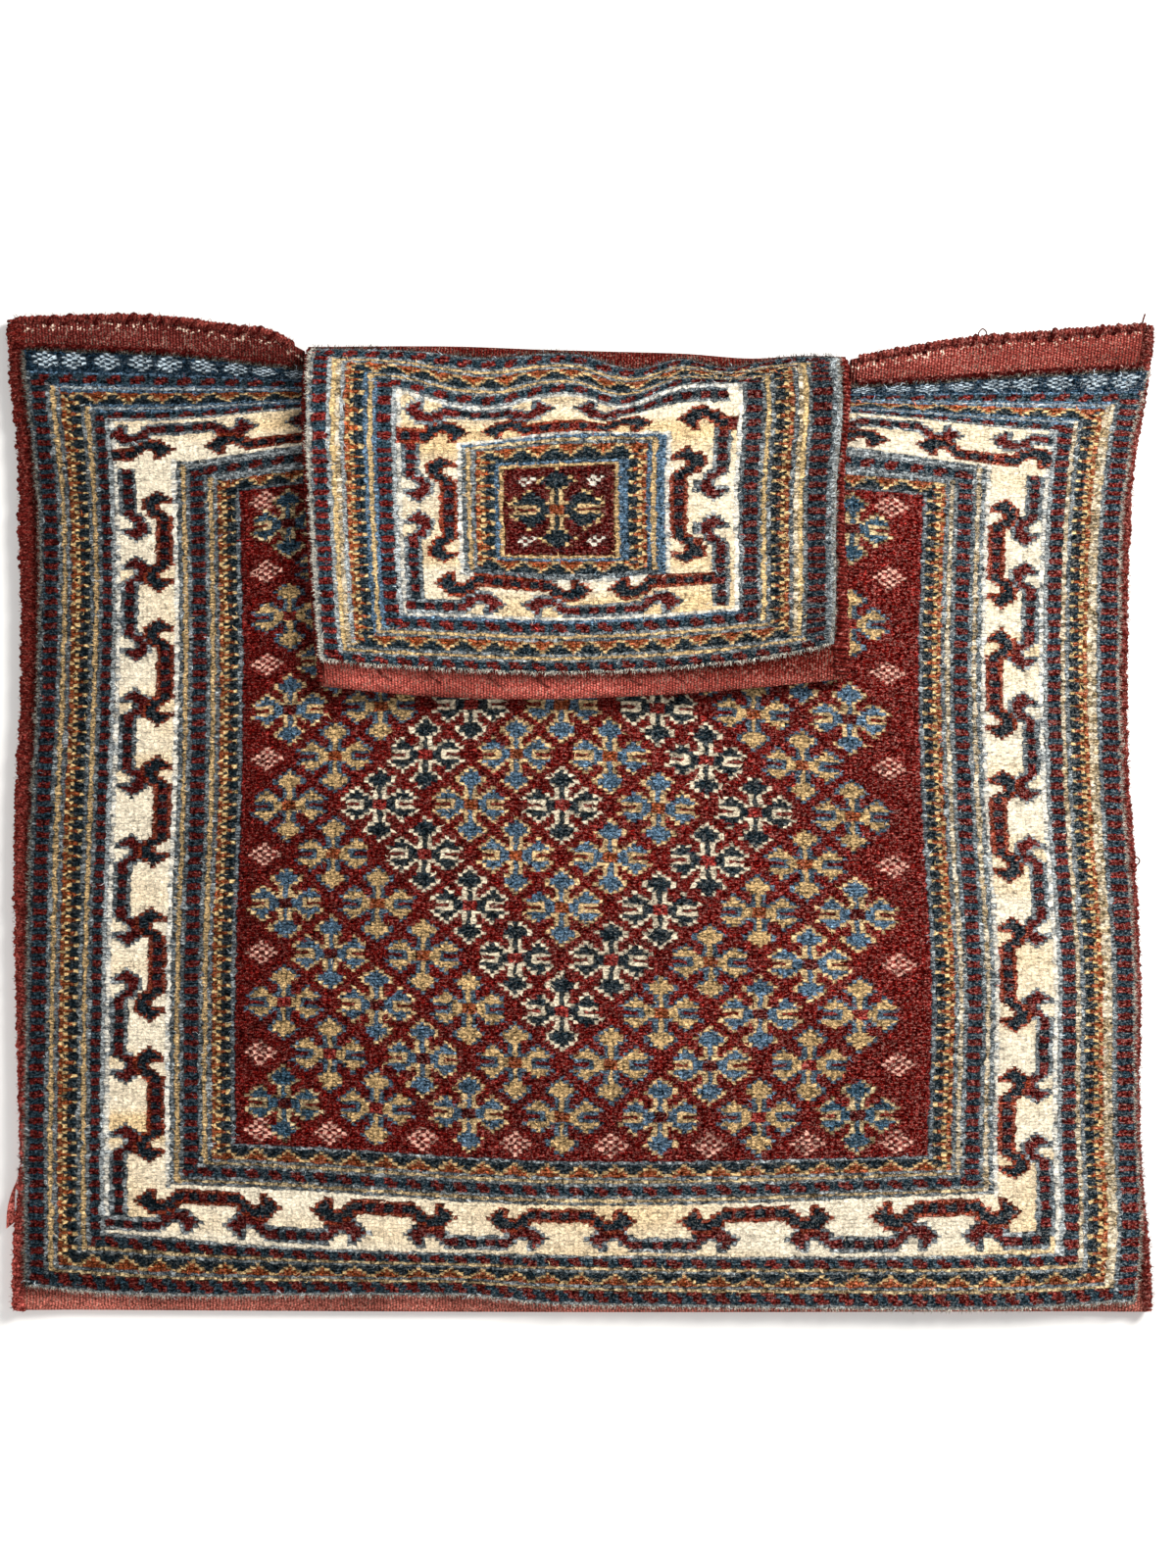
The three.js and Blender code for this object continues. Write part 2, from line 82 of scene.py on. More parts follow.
# Knots of the design from the edge of the pile inwards, one letter to a knot:
# l pale blue, g grey blue, n blue, o ochre, v flecked ochre, y gold, k brown, c straw, x bleached,
# w the white edges of the main border, i ivory, b barber pole, t teeth
MAIN = "w" + "i" * 12 + "w"
LEVEL_MAIN = "i" * len(MAIN)
FRONT_CHARTS = {
    "left": "gbbbgogttttgogbbl" + MAIN + "gogbbbgogttttg",
    "right": "bbbbgvvttttgvbbbl" + MAIN + "gvgbbbgvgttttg",
    "bottom": "lbbbbkgttttgkbbbg" + LEVEL_MAIN + "gkgbbbgkgttttg",
    "top": "nbbbnlnttttnlnbbl" + LEVEL_MAIN + "glgbbbglgttttg",
}
NECK_CHARTS = {
    "left": "xbbblcvlttttncnbbbl" + MAIN + "gogttttny",
    "right": "lgbbbbgcvgttttgcgbbbg" + "w" + "i" * 14 + "w" + "nnonttttnny",
    "bottom": "bbbgogttttgogbbbn" + "w" + "i" * 11 + "w" + "ggttttno",
    "top": "gbbbgogttttgogbbbl" + MAIN + "nkgtttttny",
}
LEVEL_SIDES = ("bottom", "top")
FRAME = len(FRONT_CHARTS["left"])
GUARD = 17  # knots in the outer guard of the front
BORDER = len(MAIN)
INNER_GUARD = FRAME - GUARD - BORDER
FIELD_RANK = 9  # ranks the field behind all the bands of a frame
TOOTH = 3  # depth of the teeth
TOOTH_CURVE = 1.5  # the higher, the narrower their points
LEVEL_TEETH, UPRIGHT_TEETH = 7, 4  # knots from one tooth to the next
BARBER_LEVEL, BARBER_UPRIGHT = 2.5, 2  # knots of one colour in the barber poles
BARBER_SLANT = 0.5
HEAD = 8  # rows of the band above the frame
HEAD_START, HEAD_PITCH, HEAD_REACH = 4, 6.67, 2  # of its lozenges, in columns
FIELD_COLUMNS, FIELD_ROWS = 145, 205
COLUMNS = 2 * FRAME + FIELD_COLUMNS
ROWS = 2 * FRAME + FIELD_ROWS + HEAD
FIELD_TOP = FRAME + FIELD_ROWS
MIDDLE_COLUMN, MIDDLE_ROW = FRAME + 70, FRAME + 102  # of the flower in the middle of the field
NECK_FIELD = (24, 28)  # columns and rows
NECK_COLUMNS = len(NECK_CHARTS["left"]) + NECK_FIELD[0] + len(NECK_CHARTS["right"])
NECK_ROWS = len(NECK_CHARTS["bottom"]) + NECK_FIELD[1] + len(NECK_CHARTS["top"])

# Heights of the lines between the bands of the front, as (share across, height)
PILE_BOTTOM = (
    (0, -207), (0.07, -210.3), (0.32, -211.1), (0.42, -212), (0.46, -214.4), (0.53, -215.7), (0.7, -216.9),
    (0.9, -217), (1, -213.7),
)
GUARD_BOTTOM = ((0, -182.3), (0.08, -184), (0.2, -188.8), (0.5, -193.5), (0.93, -192.6), (1, -191.4))
BORDER_BOTTOM = ((0, -161.7), (0.14, -162.5), (0.5, -171.6), (0.87, -166.4), (1, -164.7))
FIELD_LOW = ((0, -143.2), (0.19, -144.5), (0.5, -152.2), (0.81, -150.1), (1, -148.4))
FIELD_HIGH = ((0, 138.5), (0.14, 139.2), (0.25, 144.9), (0.5, 152), (0.74, 142.8), (0.9, 137.2), (1, 136))
BORDER_TOP = ((0, 153.5), (0.14, 154.8), (0.25, 162), (0.5, 167), (0.74, 161.3), (0.9, 151), (1, 149))
GUARD_TOP = ((0, 172.4), (0.14, 173.3), (0.25, 178), (0.5, 180), (0.74, 176.3), (0.9, 169), (1, 165.6))
HEAD_LINE = ((0, 195), (0.14, 193), (0.25, 190.6), (0.5, 187.5), (0.74, 184.3), (0.9, 185.3), (1, 185.8))
PILE_TOP = ((0, 203.8), (0.14, 200.8), (0.25, 194.8), (0.5, 191), (0.74, 187.2), (0.9, 192), (1, 194.8))
FRONT_LINES = (  # as (row, line)
    (0, PILE_BOTTOM), (GUARD, GUARD_BOTTOM), (GUARD + BORDER, BORDER_BOTTOM), (FRAME, FIELD_LOW),
    (FIELD_TOP, FIELD_HIGH), (FIELD_TOP + INNER_GUARD, BORDER_TOP),
    (FIELD_TOP + INNER_GUARD + BORDER, GUARD_TOP), (FIELD_TOP + FRAME, HEAD_LINE), (ROWS, PILE_TOP),
)
ROW_GROWTH = (0.07, 0.035)  # how much rows of the field grow towards the bottom, at the left and the right
BOTTOM_FOLD = ((0, -218.6), (0.5, -219.8), (1, -219.4))
SHOULDER = (
    (0, 219), (0.14, 219), (0.19, 215.6), (0.23, 212.5), (0.25, 207),
    (0.74, 201.5), (0.77, 204.3), (0.83, 209.4), (0.92, 213.3), (1, 216.5),
)

# Places of upright lines, as (share of the height from the bottom fold to the shoulders, X)
LEFT_BINDING = (
    (0, -251.4), (0.07, -250.3), (0.13, -248.3), (0.3, -249.2), (0.4, -250.2), (0.5, -250),
    (0.63, -247.4), (0.8, -248.1), (0.86, -248.6), (0.94, -252.2), (1, -253.3),
)
LEFT_PILE = (
    (0, -244), (0.1, -244.7), (0.3, -243.8), (0.5, -241.6), (0.63, -238.9), (0.82, -238.7),
    (0.92, -243.6), (0.97, -245.6), (1, -246),
)
FIELD_LEFT = ((0, -151.4), (0.4, -151.4), (0.5, -149.6), (0.65, -148.8), (0.82, -150.1), (1, -151))
FIELD_MIDDLE = ((0, -9), (1, -9))
FIELD_RIGHT = (
    (0, 151.6), (0.16, 151.8), (0.33, 153.5), (0.48, 149.6), (0.63, 147.5), (0.81, 149.6), (1, 151),
)
RIGHT_PILE = (
    (0, 242.5), (0.06, 244.8), (0.1, 245.3), (0.17, 243.4), (0.25, 242.6), (0.33, 242.6), (0.53, 236.9),
    (0.68, 235.5), (0.82, 237.8), (0.9, 243.4), (0.945, 248.8), (1, 251.5),
)
RIGHT_BINDING = (
    (0, 251), (0.05, 250.3), (0.1, 248.1), (0.22, 245.4), (0.29, 246), (0.45, 243.6), (0.53, 240.9),
    (0.66, 240.2), (0.79, 241.5), (0.86, 243.6), (0.9, 246.8), (0.95, 250.3), (1, 252.8),
)
COLUMN_LINES = (  # as (column, line)
    (0, LEFT_PILE), (FRAME, FIELD_LEFT), (MIDDLE_COLUMN + 0.5, FIELD_MIDDLE),
    (FRAME + FIELD_COLUMNS, FIELD_RIGHT), (COLUMNS, RIGHT_PILE),
)

# The folded neck: lines between its bands as (share across, height), and its edges as (height, X)
MOUTH = (
    (0, 56), (0.13, 52.9), (0.28, 50.7), (0.42, 50.3), (0.56, 51.2), (0.7, 52.9), (0.84, 55.5), (1, 59.3),
)
NECK_PILE_BOTTOM = (
    (0, 67.7), (0.13, 64.9), (0.28, 63.2), (0.42, 61.9), (0.56, 62.4), (0.7, 64.1),
    (0.84, 67.5), (0.94, 71.4), (1, 75),
)
NECK_GUARD_BOTTOM = ((0, 87.3), (0.29, 85.6), (0.46, 84.3), (0.67, 86), (0.81, 88.6), (1, 91.6))
NECK_BORDER_BOTTOM = ((0, 106.2), (0.3, 105.4), (0.46, 102), (0.67, 104.5), (1, 108))
NECK_FIELD_LOW = ((0, 114), (0.5, 112.7), (1, 114))
NECK_FIELD_HIGH = ((0, 148.8), (0.37, 150.5), (0.57, 152.2), (1, 153.5))
NECK_BORDER_TOP = ((0, 158.7), (0.29, 160.8), (0.5, 165.6), (0.66, 165.6), (1, 166.4))
NECK_GUARD_TOP = (
    (0, 188), (0.17, 185.5), (0.29, 178.1), (0.36, 177.3), (0.435, 181.9), (0.5, 182.8),
    (0.58, 177.7), (0.7, 186.8), (0.81, 188), (1, 189.6),
)
NECK_PILE_TOP = (
    (0, 203.4), (0.2, 202), (0.325, 199.1), (0.5, 200.8), (0.62, 194.2), (0.7, 198.6), (0.79, 194.6),
    (0.84, 196.6), (0.915, 199.6), (1, 199.6),
)
NECK_LINES = (  # as (row, line)
    (0, NECK_PILE_BOTTOM), (17, NECK_GUARD_BOTTOM), (30, NECK_BORDER_BOTTOM), (38, NECK_FIELD_LOW),
    (66, NECK_FIELD_HIGH), (76, NECK_BORDER_TOP), (90, NECK_GUARD_TOP), (NECK_ROWS, NECK_PILE_TOP),
)
FOLD_LINE = (
    (0, 205.5), (0.3, 205.5), (0.43, 204.3), (0.57, 203.4), (0.7, 202.5), (0.84, 200.4), (0.91, 201.5),
    (1, 201.2),
)
NECK_LEFT = (
    (50, -112.6), (60, -113), (86, -115.2), (142, -118.5), (183, -119.8), (199, -118.7), (206, -117.5),
)
NECK_RIGHT = ((50, 108), (60, 108.4), (90, 109.8), (142, 110.4), (183, 113), (199, 111.8), (206, 111.5))
NECK_OUTER = ((50, 116.6), (60, 117), (90, 116.6), (125, 115.2), (142, 114.8), (183, 117.2), (206, 116.6))
NECK_SELVEDGE = 1.2

# Wool, as sRGB
WOOL = {
    "red": (108, 11, 8),
    "bright_red": (140, 36, 32),
    "deep_red": (82, 9, 9),
    "madder": (98, 21, 20),
    "barber_red": (102, 24, 21),
    "barber_blue": (38, 61, 74),
    "brick": (130, 48, 26),
    "navy": (24, 42, 52),
    "teal": (52, 84, 106),
    "blue": (77, 106, 131),
    "blue_line": (70, 95, 114),
    "deep_blue": (28, 53, 72),
    "pale_blue": (150, 158, 162),
    "ice": (176, 192, 204),
    "grey": (106, 119, 130),
    "brown": (172, 150, 118),
    "ochre": (192, 162, 115),
    "pale_ochre": (202, 178, 138),
    "gold": (191, 159, 111),
    "gold_line": (200, 170, 124),
    "straw": (208, 178, 126),
    "cream": (228, 204, 158),
    "ivory": (242, 230, 207),
    "tan": (224, 193, 144),
    "white": (240, 233, 218),
    "rust": (142, 67, 32),
    "pink": (222, 166, 150),
    "bleached": (220, 218, 210),
    "slate": (76, 90, 100),
    "umber": (150, 129, 95),
    "bark": (136, 114, 82),
    "pale_line": (214, 201, 176),
    "chalk": (226, 224, 218),
}
YARNS = {
    "overcast_wool": (92, 26, 22),
    "stitch_wool": (62, 12, 10),
    "rolled_wool": (104, 42, 37),
    "loose_wool": (98, 40, 35),
}
PALEST = 0.9
SHADE = {name: index for index, name in enumerate(WOOL)}
PLAIN = {
    "l": "pale_blue", "g": "grey", "o": "ochre", "w": "chalk", "i": "ivory", "n": "blue", "y": "gold",
    "k": "brown", "v": "pale_ochre", "c": "straw", "x": "bleached",
}
FLECKED = {
    "pale_ochre": ("umber", "ivory"), "grey": ("slate", "pale_blue"),
    "bleached": ("grey", "white"), "chalk": ("white", "pale_blue"), "brown": ("bark", "cream"),
}
FLECKS = 1.7  # the higher, the fewer of the pale knots in flecked wool
FRONT_NAP_SHEEN, NECK_NAP_SHEEN = (0.58, 1.18), (1.4, 0.66)  # painted nap sheen: how bright dark wool is, at the left and the right
FRONT_YELLOWED, NECK_YELLOWED = (0.4, 0.3), (0.55, 0.0)  # how tan ivory is, at the left and the right
STREAK_CELL, PATCH_CELL = (7, 60), (26, 44)  # rows and columns of the streaks and patches, of one dyeing and of painted shade
TAN_GAIN, TAN_START, TAN_SHARE = 3.4, 1.8, 0.9
DYE_AND_SHADE, STREAK_DYE_AND_SHADE, PATCH_DYE_AND_SHADE = 0.8, 0.18, 0.22  # least brightness, and what streaks and patches add, as dye and as painted shade of the surface's undulations
SHEEN_SPARES_PALE = 1.8  # the higher, the less the painted nap sheen shows in pale wool
KNOT_SPREAD, IVORY_SPREAD = 0.21, 0.3  # how much knots of one colour differ, and ivory's share of that
SPREAD_LIMITS = (0.6, 1.5)

# Upper right quarter of a flower, from its tip down to its middle row:
# f fill, o outline, d dotted outline, c centre, s slot
FLOWER = (
    "d........",
    "fd.......",
    "ffd......",
    "fffd.....",
    "fffd.....",
    "ffd......",
    "fo...d...",
    "fo..dfd..",
    "fo.dfffd.",
    "foofffffd",
    "ccffoooo.",
    "ccffosss.",
)
NECK_FLOWER = (
    "d...........",
    "f...........",
    "ffd.........",
    "fffd........",
    "ffffd.......",
    "fff.........",
    "ffd.........",
    "fo....d.....",
    "fo...ffd....",
    "fo..ffff.d..",
    "fo.ffffffd..",
    "foofffffffd.",
    "ccfffooooo..",
    "ccffosssss..",
)
DROPPED = 0.24  # share of the dotted outline's knots that are left out
FLOWER_STEP = (10, 15)  # half the repeat, in columns and rows
FLOWER_RINGS = (  # fill, outline and centre of the flowers, ring by ring from the middle of the field
    ("navy", "pale_line", "bright_red"),
    ("blue", "gold_line", "rust"),
    ("navy", "pale_line", "bright_red"),
    ("gold", "blue_line", "rust"),
    ("blue", "gold_line", "deep_red"),
    ("gold", "blue_line", "bright_red"),
    ("teal", "brown", "deep_red"),
)
OUTERMOST = len(FLOWER_RINGS) - 1
HATCH_REACH, HATCH_INSET = 3, 5  # of the hatched lozenges, in knots
NECK_FLOWER_WOOL = {"f": "navy", "o": "gold_line", "d": "straw", "c": "rust", "s": "madder"}
NECK_MARK = ((0, 1), (2, 1), (-1, 0), (1, 0), (0, -1))  # white knots in the corners of the neck's field
NECK_MARK_INSET = 4

# A hook at the end of a bar, from its point to the bar: f fill, o outline.
# Its first letter is HOOK_START knots from the outer edge of the border.
HOOK = (
    "...o...",
    "..ofo..",
    ".offfo.",
    "offfffo",
    "offfooo",
    "offo...",
    "offo...",
    ".offo..",
    ".offfo.",
    "..ooffo",
    "...offo",
)
HOOK_START = 6
BAR = (9, 12)  # first and last knot of a bar
BAR_STRIPE = 2
BAR_WOOL = {"inner": ("brick", "navy"), "outer": ("grey", "madder")}  # outlines, and fill of the hooks
HALF_BAR = {"left": 7, "right": 7, "bottom": 5.5, "top": 5.5}

# Middles of the bars: rows down from the top of the field at the sides, columns from its left edge elsewhere
FRONT_INNER_BARS = {
    "left": (14.5, 58.3, 103, 150.7, 194.4),
    "right": (16.6, 59.3, 104.2, 150, 195.6),
    "bottom": (-6, 32, 70, 110, 149),
    "top": (8, 46, 85, 122, 159),
}
FRONT_OUTER_BARS = {
    "left": (36.6, 80.8, 128.2, 170.3),
    "right": (37.1, 79.2, 124.2, 171.6),
    "bottom": (13, 52, 91, 132),
    "top": (-12.4, 26, 64, 102, 138),
}

# Bars with places of their own: side, inner or outer, start, end, which ends have hooks
BOTH, FIRST, LAST = (True, True), (True, False), (False, True)
FRONT_CORNER_BARS = (
    ("left", "outer", -12, 4, LAST),
    ("left", "outer", 209.5, 229, FIRST),
    ("bottom", "outer", -28, -18, LAST),
    ("bottom", "outer", 163, 171, FIRST),
    ("right", "outer", 208.6, 229, FIRST),
    ("right", "outer", -12, 4, LAST),
    ("top", "inner", -30, -25, LAST),
    ("top", "outer", 170, 173, FIRST),
)
NECK_BARS = (
    ("left", "inner", 5, 21, BOTH),
    ("left", "outer", -15, 0, LAST),
    ("left", "outer", 24, 47, FIRST),
    ("right", "inner", 5, 21, BOTH),
    ("right", "outer", -15, 1, LAST),
    ("right", "outer", 26, 47, FIRST),
    ("top", "inner", 6, 21, BOTH),
    ("top", "inner", -24, -18, LAST),
    ("top", "inner", 48, 50, FIRST),
    ("top", "outer", -11, 0, BOTH),
    ("top", "outer", 26, 48, FIRST),
    ("bottom", "inner", -5, 8, BOTH),
    ("bottom", "inner", 33, 46, FIRST),
    ("bottom", "outer", -22, -11, LAST),
    ("bottom", "outer", 14, 28, BOTH),
)

# Knots
CORNER_JITTER = 0.2  # of a knot
TIP_JITTER, TIP_LIMIT = 0.24, 0.35
DIP, DIP_LEAST, DIP_SPREAD = 1.1, 0.75, 0.5  # depth of the gaps between knots, least share and spread
TIP_ROUGHNESS = 0.7
EDGE_HEIGHT = 0.2  # of the pile's outermost corners
EDGE_LEAN = 0.4  # knots at the edge of the pile lean outwards by this share of a knot
PAINTED_GAP_SHADE = (0.36, 0.94)  # painted shade in the gaps between knots, of dark wool and of pale wool
GAP_GAIN, GAP_START = 1.15, 0.1
# a painted highlight on the tips of the knots
PAINTED_TIP_HIGHLIGHT = 1.12
BLEND = 0.3  # share of the neighbours' colour in a knot's corners
PILE_PARTS = (  # pile and material slot
    ("outer_guard_pile", "guard_pile"), ("main_border_pile", "border_pile"),
    ("inner_guard_pile", "guard_pile"), ("field_pile", "field_pile"),
)

# Fibres that lie loose on the pile and stand out from its edges
FIBRE_LENGTH = (0.8, 2.6)
FIBRE_WIDTH = (0.12, 0.24)
FIBRE_TAPER = (1, 1, 0.3)
FIBRE_BEND = 0.22  # of its length
FIBRE_ARCH = (0.35, 0.1)  # how high its middle and its end are
FIBRE_SCATTER, FIBRE_SUNK = (0.5, 0.4), 0.2
FIBRE_TURN = 0.7
FIBRE_SHINE = (0.9, 2.6)
FRONT_FIBRES, NECK_FIBRES = 26000, 5000
EDGE_FIBRE, EDGE_LENGTHS = 2.2, (0.4, 1.3)
EDGE_TURN = 0.45
EDGE_DROP = 1.2
EDGE_DENSITY = 8  # fibres to a knot
EDGE_SHADES = (0.3, 1)
FRONT_BLEACHED = {"left": 0.25, "right": 0.5, "bottom": 0.55, "top": 0.1}
NECK_BLEACHED = {"left": 0.85, "right": 0.3, "bottom": 0.8, "top": 0.06}

# Yarns
YARN, THIN_YARN = 1.15, 0.95
YARN_SIDES = 6
TURN_STEPS = 12
END_TAPER = (0.5, 1, 1, 0.5)
LOOSENESS = 0.1
SIDE_PITCH = 1.9
LEFT_HALF = ((0, 2.5), (0.3, 2.7), (0.5, 3.3), (1, 3.4))  # half widths up the side overcasts
RIGHT_HALF = ((0, 1.8), (0.4, 2.0), (0.6, 2.2), (0.8, 2.0), (1, 1.7))
SIDES = {  # line, half widths, way inwards and top
    "left": (LEFT_BINDING, LEFT_HALF, 1, 217.5),
    "right": (RIGHT_BINDING, RIGHT_HALF, -1, 214.5),
}
SIDE_FOOT, SIDE_INSET, SIDE_COVER, SIDE_STEPS = 1.5, 0.7, 0.55, 220
SHOULDER_ENDS = {"left": (0.004, 0.247), "right": (0.745, 0.996)}  # shares across the cloth
SHOULDER_POINTS = 90
ROLL_PITCH, ROLL_HALF, ROLL_DROP, ROLL_COVER = 1.75, 1.3, 1.7, 0.4
STITCH_PITCH, STITCH_HALF, STITCH_LOW, STITCH_COVER = 7.0, 2.2, 0.5, 0.3  # of the whip stitches
STITCH_YARN = 0.9
CORD_YARN, CORD_PLY, CORD_STEP, CORD_SPREAD = 1.05, 6.5, 0.8, 0.75
CORD_UP, CORD_HEIGHT = 2.2, 1.5  # from the top of the pile, and above the cloth
NECK_EDGE_FOOT, NECK_COVER, LEFT_NECK_HALF, RIGHT_NECK_INSET = 1.5, 0.5, 0.9, 0.8
NECK_TURN_POINTS, NECK_EDGE_POINTS = 14, 90
SIDE_FUZZ, SHOULDER_FUZZ = 5200, 500
FUZZ_LENGTH = (0.6, 1.8)
FUZZ_SHADES = ((58, 12, 10), (158, 86, 76))
FUZZ_STEP, FUZZ_AROUND, FUZZ_TURN, FUZZ_HALF = 0.5, (0.2, 0.8), 0.6, 1.0

# Loose yarns, as (X, Y, height)
TUFT = ((-248.4, -159.5, 4.2), (-249.6, -166, 4.8), (-250, -173, 4.6), (-249.8, -179.5, 3.6))
TUFT_YARNS = 40
TUFT_SPREAD = ((0.4, 0, 0), (-1.6, -1, 0.4), (-3, -1.5, 0.6), (-3.8, -3, 0.5))  # of the outermost yarn
GOLDEN = 0.618  # spreads the yarns of the tuft unevenly
LOOP = ((174.3, 209.6, 5.6), (174.6, 212, 6), (176.2, 213.5, 6), (177.8, 212.2, 6), (178, 210, 5.6))
SIDE_LOOP = ((242.4, -18.6, 4.6), (244.2, -18.9, 5), (245.4, -20.4, 5), (244.6, -22, 5), (242.6, -22.4, 4.6))
THREAD_END = ((246.3, 214.5, 5.6), (246.7, 217, 6), (247.7, 220.2, 6))
TUFT_YARN, HEM_YARN, LOOP_YARN, END_YARN = 0.15, 0.36, 0.32, 0.45
STRAND_POINTS = 8  # to each point given
HEM_STITCHES = (-92, -70, -44, -23, 17, 36, 46, 60)  # X of loose threads on the hem
HEM_RUN, HEM_DROP = 9.0 * np.array([0, 0.35, 0.7, 1]), 6.0 * np.array([0, 0.4, 0.75, 1])
HEM_START, HEM_CLEAR = 0.5, 0.25

# Materials. A noise is (scale, detail, stretch). A range is two results and the two values they come from.
ROUGHNESS, SPECULAR = 0.92, 0.02
LIT_FROM = 1.4
GLINT = (0.13, 0.115, 0.1)  # what a fibre's lit side adds to its colour
NAP_SHINE = (0.2, 1.25, -0.25, 0.25)  # at the left and the right
STROKES, FINE, TUFTS = (1150, 3, (0.55, 1, 1)), (2400, 3), (420, 2)
STROKE_LIGHT, FINE_LIGHT, TUFT_LIGHT = (0.05, 2.1, 0.33, 0.67), (0.3, 1.75, 0.3, 0.7), (0.85, 1.2, 0.25, 0.75)
CONTRAST, RELIEF = (1.1, 0.16, 0.1, 0.85), (1.0, 0.3, 0.1, 0.85)  # of dark wool and of pale wool
WOOL_BUMP, WEAVE_BUMP = 0.6, 0.55
YARN_HAIRS, YARN_PATCHES = (1100, 4), (420, 3)
HAIR_LIGHT, PATCH_LIGHT = (0.1, 2.0, 0.32, 0.68), (0.35, 1.6, 0.3, 0.7)
LEFT_EDGE = (1, 0, -0.24, -0.2)  # one at the left edge
FADED = (1.8, 0, -0.2, 0.05)  # how much the yarn at the bottom left is paler
RIGHTWARD_GAIN = (1, 1.08, -0.1, 0.1)  # how much brighter the yarn at the right is

# The weave, in lengths of cloth from the middle of the bag up to the shoulders, then up the neck to its mouth
WARP_PITCH, WEFT_PITCH = 1.35, 1.1
RIB_SHIFT, HAIR_RELIEF = 0.5, 0.5
WEAVE = ((96, 37, 33), (134, 58, 51))  # at the left and the right
WEAVE_TURNS = (100, 430)
FOLD_WEAVE = (84, 19, 14)
TURN_WEAVE = (172, 96, 84)
HEM_WEAVE = ((94, 26, 20), (164, 76, 67))  # its dark upper right, which is painted shade, and its pale lower left
WARP_SHOWN = (230, 198, 178)
EDGE_AT = 212.0
HOLES = ((-6, -5), (-3, -2))  # where a row of holes starts and ends, from the shoulders' edge
FOLD_AT = ((221, 224), (250, 254))
HEM_AT = (366, 372)
# where the hem's painted shade gives way to its pale colour, along a slant
HEM_PAINTED_SHADE = (351, 363)
HEM_SLANT = -0.09
BOTTOM_TURN = ((-244, -230), (-214, -206))
WEAVE_HAIRS, WEAVE_PATCHES, SPECKS = (1200, 4), (70, 4, (0.5, 1, 1)), (620, 2)
BEAD, BEAD_LIGHT = (0.4, 1.0, 0, 1), (0.35, 1.4, 0, 1)
WEAVE_HAIR_LIGHT, WEAVE_PATCH_LIGHT = (0.2, 1.85, 0.32, 0.68), (0.65, 1.35, 0.3, 0.7)
GAP_SPECKS, GAP_DEPTH, HOLE_SPECKS = (0, 0.5, 0.52, 0.62), (1, 0, 0.15, 0.6), (0, 0.85, 0.56, 0.63)

# Light, floor and camera
PIXEL = 0.43  # width of one pixel of the photograph at the bag
PHOTO = (1200, 1600)
LENS, SENSOR = 80.0, 36.0
VIEW_CENTRE = (2.6, 13.3, 10.0)
WARM = (1.0, 0.97, 0.92)
LAMPS = (("key", (1.1, 0.9, 1.05), 0.7, 50), ("fill", (-1.0, -0.6, 1.2), 1.2, 12))  # place, size and power
AMBIENT = 0.38
PAPER = 0.93
BACKDROP = (0.42, 1.0)  # the floor goes over into the white backdrop at this distance, in metres
FLOOR_HALF, FLOOR_DROP = 4e3, 0.2

# Seeds
FIELD_SEED, NECK_FIELD_SEED, FRONT_SEED, NECK_SEED, YARN_SEED = 7, 9, 3, 5, 11


# Smooth lines and maps

def ease(share):
    share = np.clip(share, 0, 1)
    return share * share * (3 - 2 * share)


def fade(share):
    return 1 - (2 * np.clip(share, 0, 1) - 1) ** 4


def mix(start, end, share):
    return start + (end - start) * share


def through(points, at):
    """Value of a smooth line through (place, value) points."""
    places, values = np.array(points, float).T
    slopes = np.gradient(values, places)
    at = np.clip(at, places[0], places[-1])
    k = np.clip(np.searchsorted(places, at, side="right") - 1, 0, len(places) - 2)
    step = places[k + 1] - places[k]
    t = (at - places[k]) / step
    start = (1 + 2 * t) * values[k] + t * step * slopes[k]
    end = (3 - 2 * t) * values[k + 1] + (t - 1) * step * slopes[k + 1]
    return (1 - t) ** 2 * start + t * t * end


def across_bands(lines, at, share):
    """Place of a knot between the lines of the bands. lines is (knots, line), at is in knots."""
    knots = [float(count) for count, _ in lines]
    values = [through(line, share) for _, line in lines]
    at = np.clip(at, knots[0], knots[-1])
    result = np.zeros(np.broadcast(at, share).shape)
    for k in range(len(lines) - 1):
        here = (at >= knots[k]) & (at <= knots[k + 1])
        part = (at - knots[k]) / (knots[k + 1] - knots[k])
        result = np.where(here, mix(values[k], values[k + 1], part), result)
    return result


def height_share(y):
    low, high = BOTTOM_FOLD[0][1], SHOULDER[0][1]
    return (y - low) / (high - low)


def pile_share(x):
    return np.clip((x - LEFT_PILE[0][1]) / (RIGHT_PILE[0][1] - LEFT_PILE[0][1]), 0, 1)


def front_plan(column, row):
    """Where a knot of the front lies, seen from above."""
    down = np.clip((FIELD_TOP - row) / FIELD_ROWS, 0, 1)
    share = np.clip(column / COLUMNS, 0, 1)
    spread = down + mix(*ROW_GROWTH, share) * down * (down - 1)
    row = np.where((row > FRAME) & (row < FIELD_TOP), FIELD_TOP - FIELD_ROWS * spread, row)
    y = across_bands(FRONT_LINES, row, share)
    return across_bands(COLUMN_LINES, column, height_share(y)), y


def lift(x, y):
    """How far the front stands off from the back."""
    across = pile_share(x)
    up = np.clip((y - PILE_BOTTOM[0][1]) / (PILE_TOP[0][1] - PILE_BOTTOM[0][1]), 0, 1)
    ripple = 1 + RIPPLE * np.sin(2 * math.pi * (RIPPLES_UP * up + RIPPLES_ACROSS * across))
    return CUSHION * fade(across) * fade(up) * ripple


